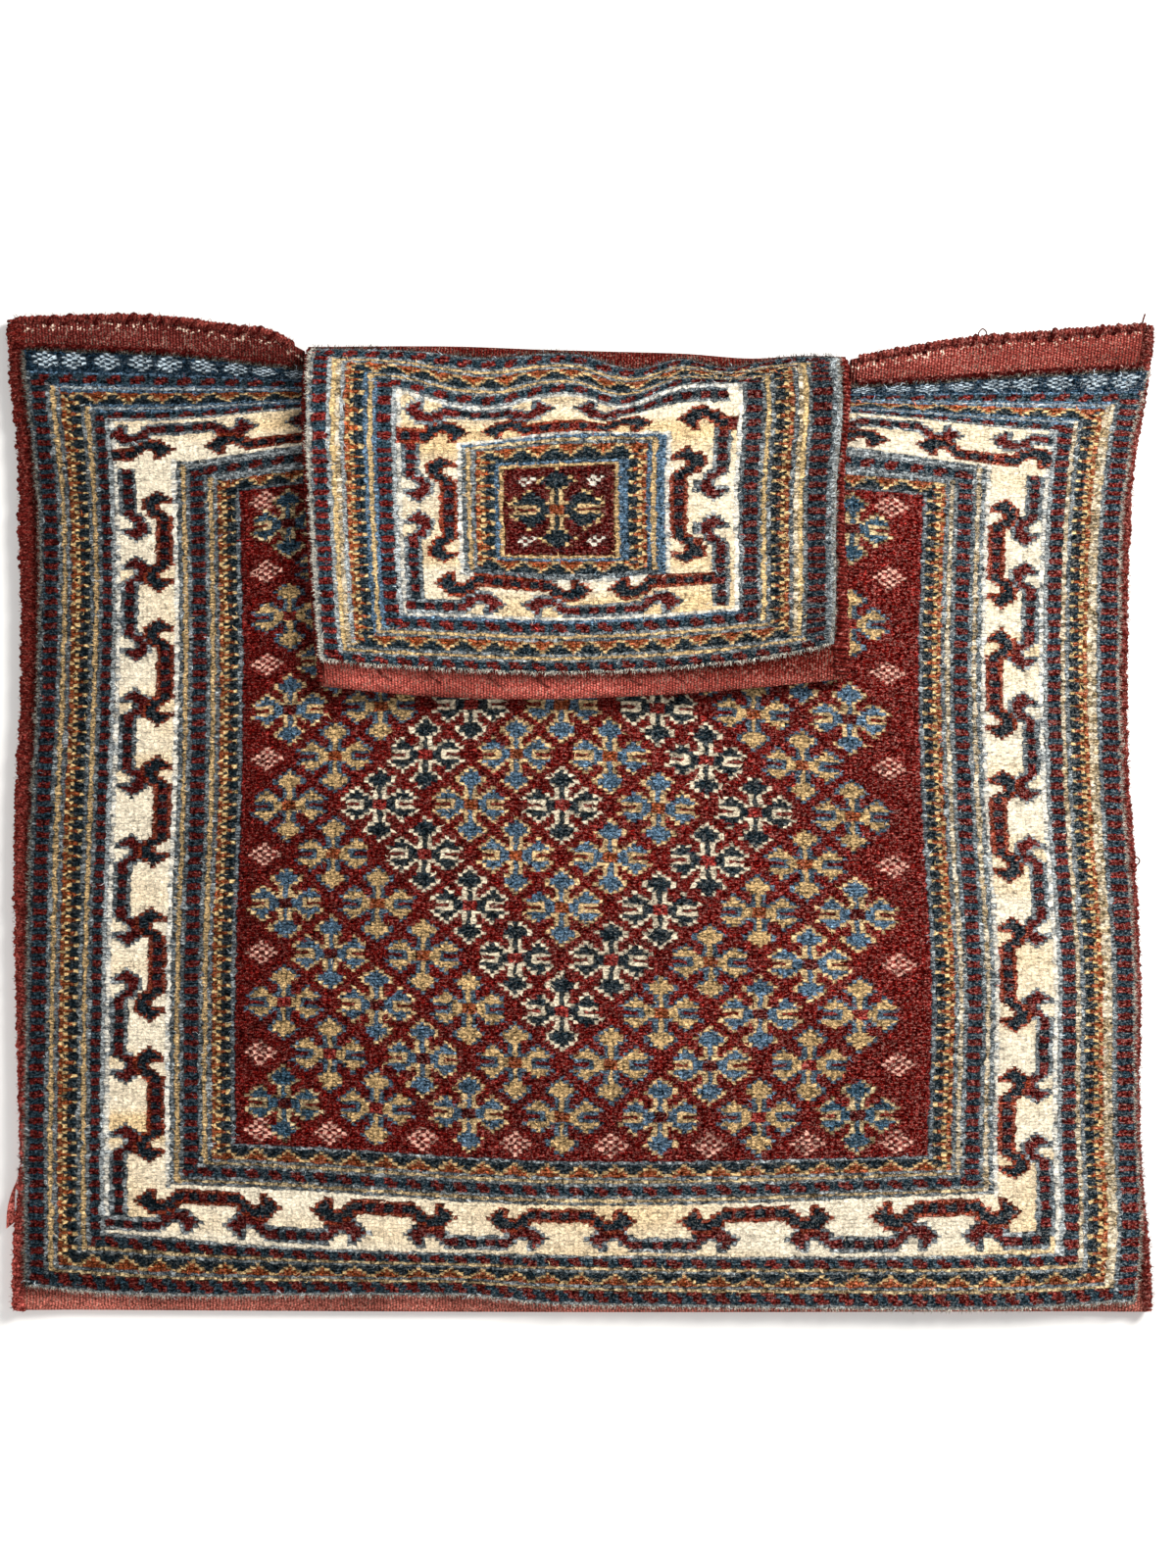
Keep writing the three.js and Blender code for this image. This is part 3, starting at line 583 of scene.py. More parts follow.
def back_height(x, y):
    """Height of the middle of the back, which climbs on to its overcast edges."""
    t = height_share(y)
    from_left = x - through(LEFT_PILE, t)
    from_right = through(RIGHT_PILE, t) - x
    share = pile_share(x)
    beyond_pile = (y - through(PILE_TOP, share)) / SHOULDER_RISE
    beyond_pile = np.where((share < NECK_SHARES[0]) | (share > NECK_SHARES[1]), beyond_pile, 0)
    climb = np.maximum(ease(1 - from_left / RISE_ZONE), ease(1 - from_right / RISE_ZONE))
    return BACK_UP + RISE * np.maximum(climb, ease(beyond_pile))


def front_height(x, y):
    return back_height(x, y) + LAYERS + lift(x, y)


def front(column, row, height):
    """Point at a height above the cloth of the front."""
    x, y = front_plan(column, row)
    return np.stack([x, y, front_height(x, y) + CLOTH / 2 + height], -1)


def fold_centre_y(share):
    return through(FOLD_LINE, share) - FOLD_RADIUS - WALL - CLOTH / 2


def flap_height(x, y, share, out):
    """Height of the folded neck at a distance out from the middle of its walls."""
    centre_y = fold_centre_y(share)
    radius = FOLD_RADIUS + out
    over = np.clip(y - centre_y, 0, radius * STEEPEST)
    curve = FOLD_CENTRE + np.sqrt(radius * radius - over * over)
    down = np.clip((centre_y - y) / (centre_y - through(MOUTH, share)), 0, 1)
    crest = 0.5 + 0.5 * np.cos(2 * math.pi * FLAP_WAVES * share)
    wave = FLAP_WAVE * fade(share) * ease(WAVE_START * down) * crest
    left, right = CRUMPLE_ACROSS
    crumple = ease((share - left) / CRUMPLE_SOFT) * ease((right - share) / CRUMPLE_SOFT)
    crumple = crumple * ease(1 - down / CRUMPLE_DOWN)
    ridges = np.abs(np.sin(math.pi * (down / CREASE_STEP + CREASE_BEND * np.sin(CREASE_BENDS * share))))
    creases = CRUMPLE * crumple * ridges * ease(CREASE_START * down)
    return curve + lift(x, y) * ease(LIFT_START * down) + wave + creases


def flap(column, row, height):
    """Point at a height above the cloth of the folded neck."""
    share = np.clip(column / NECK_COLUMNS, 0, 1)
    y = across_bands(NECK_LINES, row, share)
    x = mix(through(NECK_LEFT, y), through(NECK_RIGHT, y), column / NECK_COLUMNS)
    return np.stack([x, y, flap_height(x, y, share, WALL + CLOTH / 2 + height)], -1)


# The design, drawn knot by knot

def teeth(depth, along, period, line_shade):
    """Rust teeth outside and navy ones inside, with a pale line of single knots between."""
    share = np.abs(2 * (along % period) / period - 1)
    line = np.round(TOOTH * share ** TOOTH_CURVE).astype(int)
    kind = np.where(depth < line, SHADE["rust"], SHADE["navy"])
    return np.where(depth == line, SHADE[line_shade], kind)


def thread(letter, depth, along, level):
    """Shades of one strip of a chart, at a depth into its run of like strips."""
    if letter == "b":
        turn = (along + BARBER_SLANT * depth) // BARBER_LEVEL if level else along // BARBER_UPRIGHT
        return np.where(turn % 2 == 0, SHADE["barber_blue"], SHADE["barber_red"])
    if letter == "t":
        pitch, line_shade = (LEVEL_TEETH, "ochre") if level else (UPRIGHT_TEETH, "straw")
        return teeth(depth, along, pitch, line_shade)
    return np.full(along.shape, SHADE[PLAIN[letter]])


def border_ends(chart):
    """First and last knot of the main border in a chart."""
    border = [place for place, letter in enumerate(chart) if letter in MAIN]
    return border[0], border[-1]


def side_depths(shape, head):
    """How many knots each knot of a canvas lies from each side of its frame."""
    rows, columns = shape
    row, column = np.mgrid[:rows, :columns]
    return {"left": column, "right": columns - 1 - column, "bottom": row, "top": rows - 1 - head - row}


def lay_frame(canvas, charts, depths, upside_down):
    """Fills the frame round a field, mitred at its corners. upside_down turns over the bottom's teeth."""
    ranks = []
    for side, depth in depths.items():
        first, last = border_ends(charts[side])
        limits = [0, first, last + 1, len(charts[side])]
        ranks.append(np.interp(depth + 0.5, limits, range(len(limits)), right=FIELD_RANK))
    nearest = np.argmin(ranks, axis=0)
    for number, (side, depth) in enumerate(depths.items()):
        chart = charts[side]
        level = side in LEVEL_SIDES
        along = depths["left" if level else "bottom"]
        for place, letter in enumerate(chart):
            here = (nearest == number) & (depth == place)
            into = place - len(chart[:place + 1].rstrip(letter))
            if letter == "t" and side == "bottom" and upside_down:
                rest = chart[place + 1:]
                into = len(rest) - len(rest.lstrip(letter))
            canvas[here] = thread(letter, into, along[here], level)


def hook_letters(across, past):
    """Letters of the hook chart at knots across the border and past the end of the bar."""
    chart = np.array([list(line) for line in reversed(HOOK)])
    row = np.floor(past).astype(int)
    column = across - HOOK_START
    inside = (row >= 0) & (row < chart.shape[0]) & (column >= 0) & (column < chart.shape[1])
    letters = chart[np.clip(row, 0, chart.shape[0] - 1), np.clip(column, 0, chart.shape[1] - 1)]
    return np.where(inside, letters, ".")


def draw_bar(canvas, band, across, along, start, end, hooks, outline, fill):
    """One bar of the hook border with its hooks, inside a band of the canvas."""
    bar = band & (across >= BAR[0]) & (across <= BAR[1]) & (along >= start) & (along < end)
    core = bar & (across > BAR[0]) & (across < BAR[1])
    canvas[bar] = SHADE[outline]
    canvas[core] = np.where((along[core] - start) // BAR_STRIPE % 2 == 0, SHADE["madder"], SHADE["navy"])
    for wanted, past in zip(hooks, (start - along, along - end)):
        if wanted:
            letters = np.where(band, hook_letters(across, past), ".")
            canvas[letters == "o"] = SHADE[outline]
            canvas[letters == "f"] = SHADE[fill]


def draw_hooks(canvas, charts, depths, bars, field_left, field_top):
    """Bars with hooks round the main border. A bar runs along the inner or the outer side of it."""
    band = np.isin(canvas, [SHADE["ivory"], SHADE["chalk"]])
    for side, edge, start, end, hooks in bars:
        first, last = border_ends(charts[side])
        across = (depths[side] - first) * BORDER // (last + 1 - first)
        if edge == "outer":
            across = BORDER - 1 - across
        along = field_top - depths["bottom"] - 0.5
        if side in LEVEL_SIDES:
            along = depths["left"] + 0.5 - field_left
        here = band & (depths[side] >= first) & (depths[side] <= last)
        draw_bar(canvas, here, across, along, start, end, hooks, *BAR_WOOL[edge])


def stamp(canvas, column, row, chart, shades, rng):
    """Puts a chart's quarter, and its mirror images, on the canvas round a middle knot."""
    for up, letters in enumerate(reversed(chart)):
        for right, letter in enumerate(letters):
            if letter == ".":
                continue
            for r in sorted({row + up, row - up}):
                for c in sorted({column + right, column - right}):
                    inside = 0 <= r < canvas.shape[0] and 0 <= c < canvas.shape[1]
                    if inside and (letter != "d" or rng.random() > DROPPED):
                        canvas[r, c] = SHADE[shades[letter]]


def hatch(canvas, column, row, shade, reach=HATCH_REACH):
    """A small lozenge of every other knot, which reaches so far to each side."""
    r, c = np.mgrid[: canvas.shape[0], : canvas.shape[1]]
    across = np.abs(c - column)
    steps = across + np.abs(r - row)
    canvas[(steps <= HATCH_REACH) & (steps % 2 == 1) & (across <= reach)] = SHADE[shade]


def flower_places():
    """Steps (up, right) from the field's middle to each flower and, beyond them, each hatched lozenge."""
    steps = range(-OUTERMOST - 1, OUTERMOST + 2)
    return [(i, j) for i in steps for j in steps if (i + j) % 2 == 0]


def draw_field(canvas):
    """The field of the front: a lattice of flowers, in rings of one colouring each, with hatched edges."""
    field = canvas[FRAME:FIELD_TOP, FRAME:FRAME + FIELD_COLUMNS]
    field[:] = SHADE["red"]
    middle_column, middle_row = MIDDLE_COLUMN - FRAME, MIDDLE_ROW - FRAME
    for i, j in flower_places():
        if max(abs(i), abs(j)) > OUTERMOST:
            column = np.clip(middle_column + FLOWER_STEP[0] * j, HATCH_INSET, FIELD_COLUMNS - 2 - HATCH_INSET)
            row = np.clip(middle_row + FLOWER_STEP[1] * i, HATCH_INSET - 1, FIELD_ROWS - HATCH_INSET)
            hatch(field, column, row, "pink")
    rng = np.random.default_rng(FIELD_SEED)
    for i, j in flower_places():
        if max(abs(i), abs(j)) <= OUTERMOST:
            fill, outline, centre = FLOWER_RINGS[min((abs(i) + abs(j)) // 2, OUTERMOST)]
            shades = {"f": fill, "o": outline, "d": outline, "c": centre, "s": "red"}
            column, row = middle_column + FLOWER_STEP[0] * j, middle_row + FLOWER_STEP[1] * i
            stamp(field, column, row, FLOWER, shades, rng)


def draw_head(canvas):
    """The band above the frame: pale hatched lozenges on blue."""
    canvas[-HEAD:] = SHADE["deep_blue"]
    for column in np.arange(HEAD_START, COLUMNS, HEAD_PITCH):
        hatch(canvas[-HEAD:], int(column), HEAD // 2, "ice", HEAD_REACH)


def front_canvas():
    canvas = np.zeros((ROWS, COLUMNS), int)
    depths = side_depths(canvas.shape, HEAD)
    lay_frame(canvas, FRONT_CHARTS, depths, False)
    bars = list(FRONT_CORNER_BARS)
    for edge, sides in (("outer", FRONT_OUTER_BARS), ("inner", FRONT_INNER_BARS)):
        for side, middles in sides.items():
            half = HALF_BAR[side]
            bars += [(side, edge, middle - half, middle + half, BOTH) for middle in middles]
    draw_hooks(canvas, FRONT_CHARTS, depths, bars, FRAME, FIELD_TOP)
    draw_field(canvas)
    draw_head(canvas)
    return canvas


def neck_canvas():
    canvas = np.zeros((NECK_ROWS, NECK_COLUMNS), int)
    depths = side_depths(canvas.shape, 0)
    lay_frame(canvas, NECK_CHARTS, depths, True)
    columns, rows = NECK_FIELD
    left, low = len(NECK_CHARTS["left"]), len(NECK_CHARTS["bottom"])
    draw_hooks(canvas, NECK_CHARTS, depths, NECK_BARS, left, low + rows)
    field = canvas[low:low + rows, left:left + columns]
    field[:] = SHADE["deep_red"]
    rng = np.random.default_rng(NECK_FIELD_SEED)
    stamp(field, columns // 2 - 1, rows // 2, NECK_FLOWER, NECK_FLOWER_WOOL, rng)
    for c in (NECK_MARK_INSET, columns - 1 - NECK_MARK_INSET):
        for r in (NECK_MARK_INSET, rows - 1 - NECK_MARK_INSET):
            for right, up in NECK_MARK:
                field[r + up, c + right] = SHADE["white"]
    return canvas


# Wool colours

def linear(srgb):
    value = np.asarray(srgb, float) / 255
    return np.where(value <= 0.04045, value / 12.92, ((value + 0.055) / 1.055) ** 2.4)


def cloud(rng, shape, cell):
    """Smooth random values from 0 to 1, a cell of (rows, columns) apart."""
    coarse = rng.random((shape[0] // cell[0] + 3, shape[1] // cell[1] + 3))
    row, column = np.mgrid[: shape[0], : shape[1]]
    row, column = row / cell[0], column / cell[1]
    r, c = row.astype(int), column.astype(int)
    down, right = ease(row - r), ease(column - c)
    low = mix(coarse[r, c], coarse[r, c + 1], right)
    high = mix(coarse[r + 1, c], coarse[r + 1, c + 1], right)
    return mix(low, high, down)


def capped(colours):
    """Colours made no paler than wool is."""
    return colours * np.minimum(1, PALEST / colours.max(-1, keepdims=True))


def knot_colours(canvas, nap_sheen, yellowed, rng):
    """Colour of each knot, with streaks from one dyeing to the next and painted shade, and painted nap sheen.
    """
    share = np.linspace(0, 1, canvas.shape[1])
    colours = linear(list(WOOL.values()))[canvas]
    flecks = rng.random((*canvas.shape, 1)) ** FLECKS
    for shade, (dull, bright) in FLECKED.items():
        flecked = (canvas == SHADE[shade])[..., None]
        colours = np.where(flecked, mix(linear(WOOL[dull]), linear(WOOL[bright]), flecks), colours)
    streak = cloud(rng, canvas.shape, STREAK_CELL)
    patch = cloud(rng, canvas.shape, PATCH_CELL)
    ivory = (canvas == SHADE["ivory"])[..., None]
    tan = TAN_GAIN * (0.5 * streak + 0.5 * patch) - TAN_START + mix(*yellowed, share)
    tan = np.clip(tan, 0, 1)[..., None]
    colours = np.where(ivory, mix(colours, linear(WOOL["tan"]), TAN_SHARE * tan), colours)
    # Streaks and patches of dye, which also paint the shade of the surface's gentle undulations
    light = DYE_AND_SHADE + STREAK_DYE_AND_SHADE * streak + PATCH_DYE_AND_SHADE * patch
    # Painted nap sheen: dark wool is brighter towards one side, pale wool much less
    light = light * mix(mix(*nap_sheen, share), 1, np.clip(SHEEN_SPARES_PALE * colours.mean(-1), 0, 1))
    spread = 1 + KNOT_SPREAD * rng.standard_normal(canvas.shape) * np.where(ivory[..., 0], IVORY_SPREAD, 1)
    return capped(colours * (light * np.clip(spread, *SPREAD_LIMITS))[..., None])


# Meshes

def new_mesh(name, points, faces):
    """A mesh from points in millimetres and faces that all have as many corners."""
    faces = np.ascontiguousarray(faces, np.int32)
    mesh = bpy.data.meshes.new(name)
    mesh.vertices.add(len(points))
    mesh.vertices.foreach_set("co", (np.asarray(points) * MM).astype(np.float32).ravel())
    mesh.loops.add(faces.size)
    mesh.loops.foreach_set("vertex_index", faces.ravel())
    mesh.polygons.add(len(faces))
    mesh.polygons.foreach_set("loop_start", np.arange(0, faces.size, faces.shape[1], dtype=np.int32))
    mesh.update(calc_edges=True)
    return mesh


def paint(mesh, colours):
    """Gives each corner of each face its colour."""
    rgba = np.ones((len(mesh.loops), 4), np.float32)
    rgba[:, :3] = colours.reshape(-1, 3)
    mesh.color_attributes.new("wool", "FLOAT_COLOR", "CORNER").data.foreach_set("color", rgba.ravel())


def add_piece(name, mesh, material, nodes=()):
    piece = bpy.data.objects.new(name, mesh)
    bpy.context.scene.collection.objects.link(piece)
    piece.data.materials.append(material)
    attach(piece, "root")
    if nodes:
        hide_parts(*nodes)
    return piece


class Pile:
    """Knots on a grid of jittered corners. place(column, row, height) puts a point above the cloth."""

    def __init__(self, canvas, place, nap_sheen, yellowed, seed):
        rng = np.random.default_rng(seed)
        rows, columns = canvas.shape
        self.shape = canvas.shape
        self.colours = knot_colours(canvas, nap_sheen, yellowed, rng)
        row, column = np.mgrid[: rows + 1, : columns + 1].astype(float)
        at_edge = (row == 0) | (row == rows) | (column == 0) | (column == columns)
        jitter = CORNER_JITTER * rng.standard_normal((2, rows + 1, columns + 1))
        lean_row = EDGE_LEAN * ((row == rows).astype(float) - (row == 0))
        lean_column = EDGE_LEAN * ((column == columns).astype(float) - (column == 0))
        height = PILE - DIP * (DIP_LEAST + DIP_SPREAD * rng.random(row.shape))
        height = np.where(at_edge, EDGE_HEIGHT, height)
        corners = place(column + jitter[0] * ~at_edge, row + jitter[1] * ~at_edge, height)
        column_step = place(np.array([0.0, columns]), np.array([rows / 2] * 2), np.zeros(2))
        row_step = place(np.array([columns / 2] * 2), np.array([0.0, rows]), np.zeros(2))
        corners[..., 0] += lean_column * (column_step[1, 0] - column_step[0, 0]) / columns
        corners[..., 1] += lean_row * (row_step[1, 1] - row_step[0, 1]) / rows
        tip = np.clip(TIP_JITTER * rng.standard_normal((2, rows, columns)), -TIP_LIMIT, TIP_LIMIT)
        tip_height = PILE + TIP_ROUGHNESS * (rng.random((rows, columns)) - 0.5)
        self.tips = place(column[:-1, :-1] + 0.5 + tip[0], row[:-1, :-1] + 0.5 + tip[1], tip_height)
        self.points = np.concatenate([corners.reshape(-1, 3), self.tips.reshape(-1, 3)])
        padded = np.pad(self.colours, ((1, 1), (1, 1), (0, 0)), mode="edge")
        self.corner_colours = (padded[1:, 1:] + padded[1:, :-1] + padded[:-1, 1:] + padded[:-1, :-1]) / 4

    def mesh(self, name, mask):
        """The knots of a mask as a mesh of four triangles each."""
        rows, columns = self.shape
        row, column = np.nonzero(mask)
        corner = row * (columns + 1) + column
        ring = np.stack([corner, corner + 1, corner + columns + 2, corner + columns + 1], 1)
        tip = (rows + 1) * (columns + 1) + row * columns + column
        faces = np.stack([ring, np.roll(ring, -1, 1), np.repeat(tip[:, None], 4, 1)], -1)
        own = self.colours[row, column]
        around = np.stack([
            self.corner_colours[row, column], self.corner_colours[row, column + 1],
            self.corner_colours[row + 1, column + 1], self.corner_colours[row + 1, column],
        ], 1)
        mixed = mix(own[:, None], around, BLEND)
        # Painted shade in the gaps between knots, less in pale wool, and a painted highlight on each knot's
        # tip
        pale = np.clip(GAP_GAIN * mixed.mean(-1, keepdims=True) - GAP_START, 0, 1)
        low = mixed * mix(*PAINTED_GAP_SHADE, pale)
        high = np.repeat(capped(PAINTED_TIP_HIGHLIGHT * own)[:, None], 4, 1)
        colours = np.stack([low, np.roll(low, -1, 1), high], 2)
        used, faces = np.unique(faces.reshape(-1, 3), return_inverse=True)
        made = new_mesh(name, self.points[used], faces.reshape(-1, 3))
        paint(made, colours)
        return made


def loose_fibres(pile, count, rng):
    """Fibres that lie on top of the pile, mostly across it, as (points, faces, colours)."""
    rows, columns = pile.shape
    row, column = rng.integers(0, rows, count), rng.integers(0, columns, count)
    scatter = [rng.normal(0, reach, count) for reach in FIBRE_SCATTER]
    root = pile.tips[row, column] + np.stack([*scatter, np.full(count, -FIBRE_SUNK)], 1)
    turn = rng.normal(0, FIBRE_TURN, count) + math.pi * rng.integers(0, 2, count)
    colours = capped(pile.colours[row, column] * rng.uniform(*FIBRE_SHINE, (count, 1)))
    return fibres(root, turn, rng.uniform(*FIBRE_LENGTH, count), rng) + (colours,)


def edge_fibres(roots, turn, count, rng):
    """Fibres that stand out from an edge, given as a line of points, in the direction of an angle."""
    at = rng.uniform(0, len(roots) - 1.001, count)
    low = at.astype(int)
    root = mix(roots[low], roots[low + 1], (at - low)[:, None])
    turns = rng.normal(turn, EDGE_TURN, count)
    return fibres(root, turns, EDGE_FIBRE * rng.uniform(*EDGE_LENGTHS, count), rng)


def fibres(root, turn, length, rng):
    """Curved ribbons of two faces each, as (points, faces)."""
    count = len(root)
    length = length[:, None]
    way = np.stack([np.cos(turn), np.sin(turn), np.zeros(count)], 1)
    sideways = np.stack([-np.sin(turn), np.cos(turn), np.zeros(count)], 1)
    half = rng.uniform(*FIBRE_WIDTH, (count, 1)) / 2
    bend = rng.normal(0, FIBRE_BEND, (count, 1)) * length * sideways
    middle = root + way * length * 0.5 + bend + FIBRE_ARCH[0] * UP
    end = root + way * length + FIBRE_ARCH[1] * UP
    points = np.stack([
        place + side * half * sideways * taper
        for place, taper in zip((root, middle, end), FIBRE_TAPER) for side in (-1, 1)
    ], 1)
    first = np.arange(count)[:, None] * points.shape[1]
    faces = np.concatenate([first + [0, 2, 3, 1], first + [2, 4, 5, 3]], 1).reshape(-1, 4)
    return points.reshape(-1, 3), faces


def add_fibres(name, made, colours, wool):
    """Fibres as a piece, each face in its fibre's colour."""
    mesh = new_mesh(name, *made)
    paint(mesh, np.repeat(colours, len(mesh.loops) // len(colours), 0))
    return add_piece(name, mesh, wool)


def tube(points, normals, radius):
    """A closed tube of YARN_SIDES sides along points, as (points, faces)."""
    count = len(points)
    tangents = np.gradient(points, axis=0)
    tangents /= np.linalg.norm(tangents, axis=1, keepdims=True)
    normals = normals - (normals * tangents).sum(1, keepdims=True) * tangents
    normals /= np.linalg.norm(normals, axis=1, keepdims=True)
    sideways = np.cross(tangents, normals)
    angle = 2 * math.pi * np.arange(YARN_SIDES) / YARN_SIDES
    radius = np.broadcast_to(radius, count)[:, None, None]
    ring = np.cos(angle)[:, None] * normals[:, None] + np.sin(angle)[:, None] * sideways[:, None]
    skin = (points[:, None] + radius * ring).reshape(-1, 3)
    start = np.arange(count - 1)[:, None] * YARN_SIDES
    side = np.arange(YARN_SIDES)
    after = (side + 1) % YARN_SIDES
    walls = np.stack([start + side, start + after, start + YARN_SIDES + after, start + YARN_SIDES + side], -1)
    cap = np.array([[0, 1, 2, 3], [0, 3, 4, 5]])
    return skin, np.concatenate([walls.reshape(-1, 4), cap[:, ::-1], (count - 1) * YARN_SIDES + cap])


def joined(parts):
    """Several (points, faces) as one."""
    offsets = np.cumsum([0] + [len(points) for points, _ in parts[:-1]])
    faces = np.concatenate([faces + offset for (_, faces), offset in zip(parts, offsets)])
    return np.concatenate([points for points, _ in parts]), faces


def lengths(points):
    """Length of a line of points up to each of them."""
    return np.concatenate([[0], np.cumsum(np.linalg.norm(np.diff(points, axis=0), axis=1))])


def spaced(points, step):
    """Points a step apart along a line of points, with the way that it runs there and its length so far."""
    length = lengths(points)
    at = np.linspace(0, length[-1], max(int(length[-1] / step), 2))
    line = np.stack([np.interp(at, length, points[:, k]) for k in range(3)], 1)
    way = np.gradient(line, axis=0)
    return line, way / np.linalg.norm(way, axis=1, keepdims=True), at


def steady(width):
    """A half width that is the same all along an edge."""
    return lambda share: np.full(np.shape(share), width)


def wound(line_points, half_width, half_height, pitch, yarn, rng):
    """A yarn wound round an edge. half_width(share) and half_height go to the middle of the yarn."""
    line, way, at = spaced(line_points, pitch / TURN_STEPS)
    turn = 2 * math.pi * (at / pitch)
    sideways = np.stack([way[:, 1], -way[:, 0], np.zeros(len(way))], 1)
    sideways /= np.linalg.norm(sideways, axis=1, keepdims=True)
    width = half_width(at / at[-1])[:, None]
    halves = np.arange(0, at[-1] + pitch, pitch / 2)
    loose = np.interp(at, halves, 1 + LOOSENESS * rng.standard_normal(len(halves)))[:, None]
    out = np.cos(turn)[:, None] * sideways * width + np.sin(turn)[:, None] * UP * half_height
    thick = yarn * np.interp(at, [0, pitch, at[-1] - pitch, at[-1]], END_TAPER)
    skin, faces = tube(line + loose * out, out, thick * loose[:, 0])
    skin[:, 2] = np.maximum(skin[:, 2], FLOOR_GAP)
    return skin, faces


def plied(line_points, yarn, ply_pitch, step):
    """A cord of two yarns twisted together."""
    line, way, at = spaced(line_points, step)
    sideways = np.cross(way, UP)
    parts = []
    for phase in (0, math.pi):
        turn = 2 * math.pi * at / ply_pitch + phase
        out = np.cos(turn)[:, None] * sideways + np.sin(turn)[:, None] * UP
        parts.append(tube(line + CORD_SPREAD * yarn * out, out, yarn))
    return joined(parts)


# Materials

class Nodes:
    """The nodes of a material or of the world."""

    def __init__(self, tree):
        self.nodes, self.links = tree.nodes, tree.links

    def put(self, socket, value):
        """Links a socket to another one, or sets its value."""
        if isinstance(value, bpy.types.NodeSocket):
            self.links.new(value, socket)
        else:
            socket.default_value = value

    def add(self, kind, values, **settings):
        """Outputs of a new node. values are for its inputs, by name or number."""
        node = self.nodes.new(f"ShaderNode{kind}")
        for name, setting in settings.items():
            setattr(node, name, setting)
        for name, value in values.items():
            self.put(node.inputs[name], value)
        return node.outputs

    def place(self):
        return self.add("TexCoord", {})["Object"]

    def parts(self, vector):
        """The parts X, Y and Z of a vector."""
        return self.add("SeparateXYZ", {"Vector": vector})

    def noise(self, scale, detail, stretch=(1, 1, 1)):
        mapped = self.add("Mapping", {"Vector": self.place(), "Scale": stretch})["Vector"]
        return self.add("TexNoise", {"Vector": mapped, "Scale": scale, "Detail": detail})["Fac"]

    def ranged(self, value, low, high, from_low, from_high):
        """The value spread over a range."""
        limits = {"From Min": from_low, "From Max": from_high, "To Min": low, "To Max": high}
        return self.add("MapRange", {"Value": value, **limits})["Result"]

    def maths(self, operation, *values):
        return self.add("Math", dict(enumerate(values)), operation=operation)["Value"]

    def times(self, first, second):
        return self.maths("MULTIPLY", first, second)

    def between(self, value, start, end):
        """One where a value is between two soft limits, and nought elsewhere."""
        return self.times(self.ranged(value, 0, 1, *start), self.ranged(value, 1, 0, *end))

    def half_wave(self, value):
        return self.maths("SINE", self.times(self.maths("FRACT", value), math.pi))

    def blend(self, factor, first, second):
        """A mix of two colours, each an sRGB triple or a socket."""
        values = {"Factor": factor}
        for name, colour in (("A", first), ("B", second)):
            values[name] = (*linear(colour), 1) if isinstance(colour, tuple) else colour
        return self.add("Mix", values, data_type="RGBA")["Result"]

    def nap(self, colour, light):
        """A colour in the light and dark of its fibres, whose lit sides are palest at the right."""
        shine = self.ranged(self.parts(self.place())["X"], *NAP_SHINE)
        lit = self.maths("MAXIMUM", self.maths("SUBTRACT", light, LIT_FROM), 0.0)
        shaded = self.add("VectorMath", {0: colour, "Scale": light}, operation="SCALE")["Vector"]
        values = {0: GLINT, 1: self.times(lit, shine), 2: shaded}
        return self.add("VectorMath", values, operation="MULTIPLY_ADD")["Vector"]


class Look(Nodes):
    """A matt material and its nodes."""

    def __init__(self, name):
        self.material = bpy.data.materials.new(name)
        self.material.use_nodes = True
        super().__init__(self.material.node_tree)
        self.shader = self.nodes["Principled BSDF"]
        self.put(self.shader.inputs["Roughness"], ROUGHNESS)
        self.put(self.shader.inputs["Specular IOR Level"], SPECULAR)

    def finish(self, colour, height, distance):
        """Puts on a colour and a relief, and returns the material."""
        normal = self.add("Bump", {"Distance": distance * MM, "Strength": 1.0, "Height": height})["Normal"]
        self.put(self.shader.inputs["Base Color"], colour)
        self.put(self.shader.inputs["Normal"], normal)
        return self.material


def wool_pile():
    """Cut wool: the knot's colour, with the shade, highlight and sheen painted into it, and the light and
    dark of its fibres.
    """
    look = Look("wool_pile")
    colour = look.add("VertexColor", {}, layer_name="wool")["Color"]
    strokes, fine, tufts = look.noise(*STROKES), look.noise(*FINE), look.noise(*TUFTS)
    light = look.times(look.ranged(strokes, *STROKE_LIGHT), look.ranged(fine, *FINE_LIGHT))
    light = look.times(light, look.ranged(tufts, *TUFT_LIGHT))
    grey = look.add("RGBToBW", {"Color": colour})["Val"]
    contrast = look.ranged(grey, *CONTRAST)
    spread = look.maths("MULTIPLY_ADD", look.maths("SUBTRACT", light, 1.0), contrast, 1.0)
    height = look.times(look.maths("ADD", strokes, fine), look.ranged(grey, *RELIEF))
    return look.finish(look.nap(colour, spread), height, WOOL_BUMP)


def yarn_material(name, srgb):
    """Fuzzy spun wool, paler at the bottom left and a little brighter at the right."""
    look = Look(name)
    hairs, patches = look.noise(*YARN_HAIRS), look.noise(*YARN_PATCHES)
    light = look.times(look.ranged(hairs, *HAIR_LIGHT), look.ranged(patches, *PATCH_LIGHT))
    place = look.parts(look.place())
    left, low = look.ranged(place["X"], *LEFT_EDGE), look.ranged(place["Y"], *FADED)
    brightness = look.maths("MULTIPLY_ADD", left, low, look.ranged(place["X"], *RIGHTWARD_GAIN))
    base = look.add("RGB", {})[0]
    base.default_value = (*linear(srgb), 1)
    return look.finish(look.nap(base, look.times(light, brightness)), hairs, WOOL_BUMP)


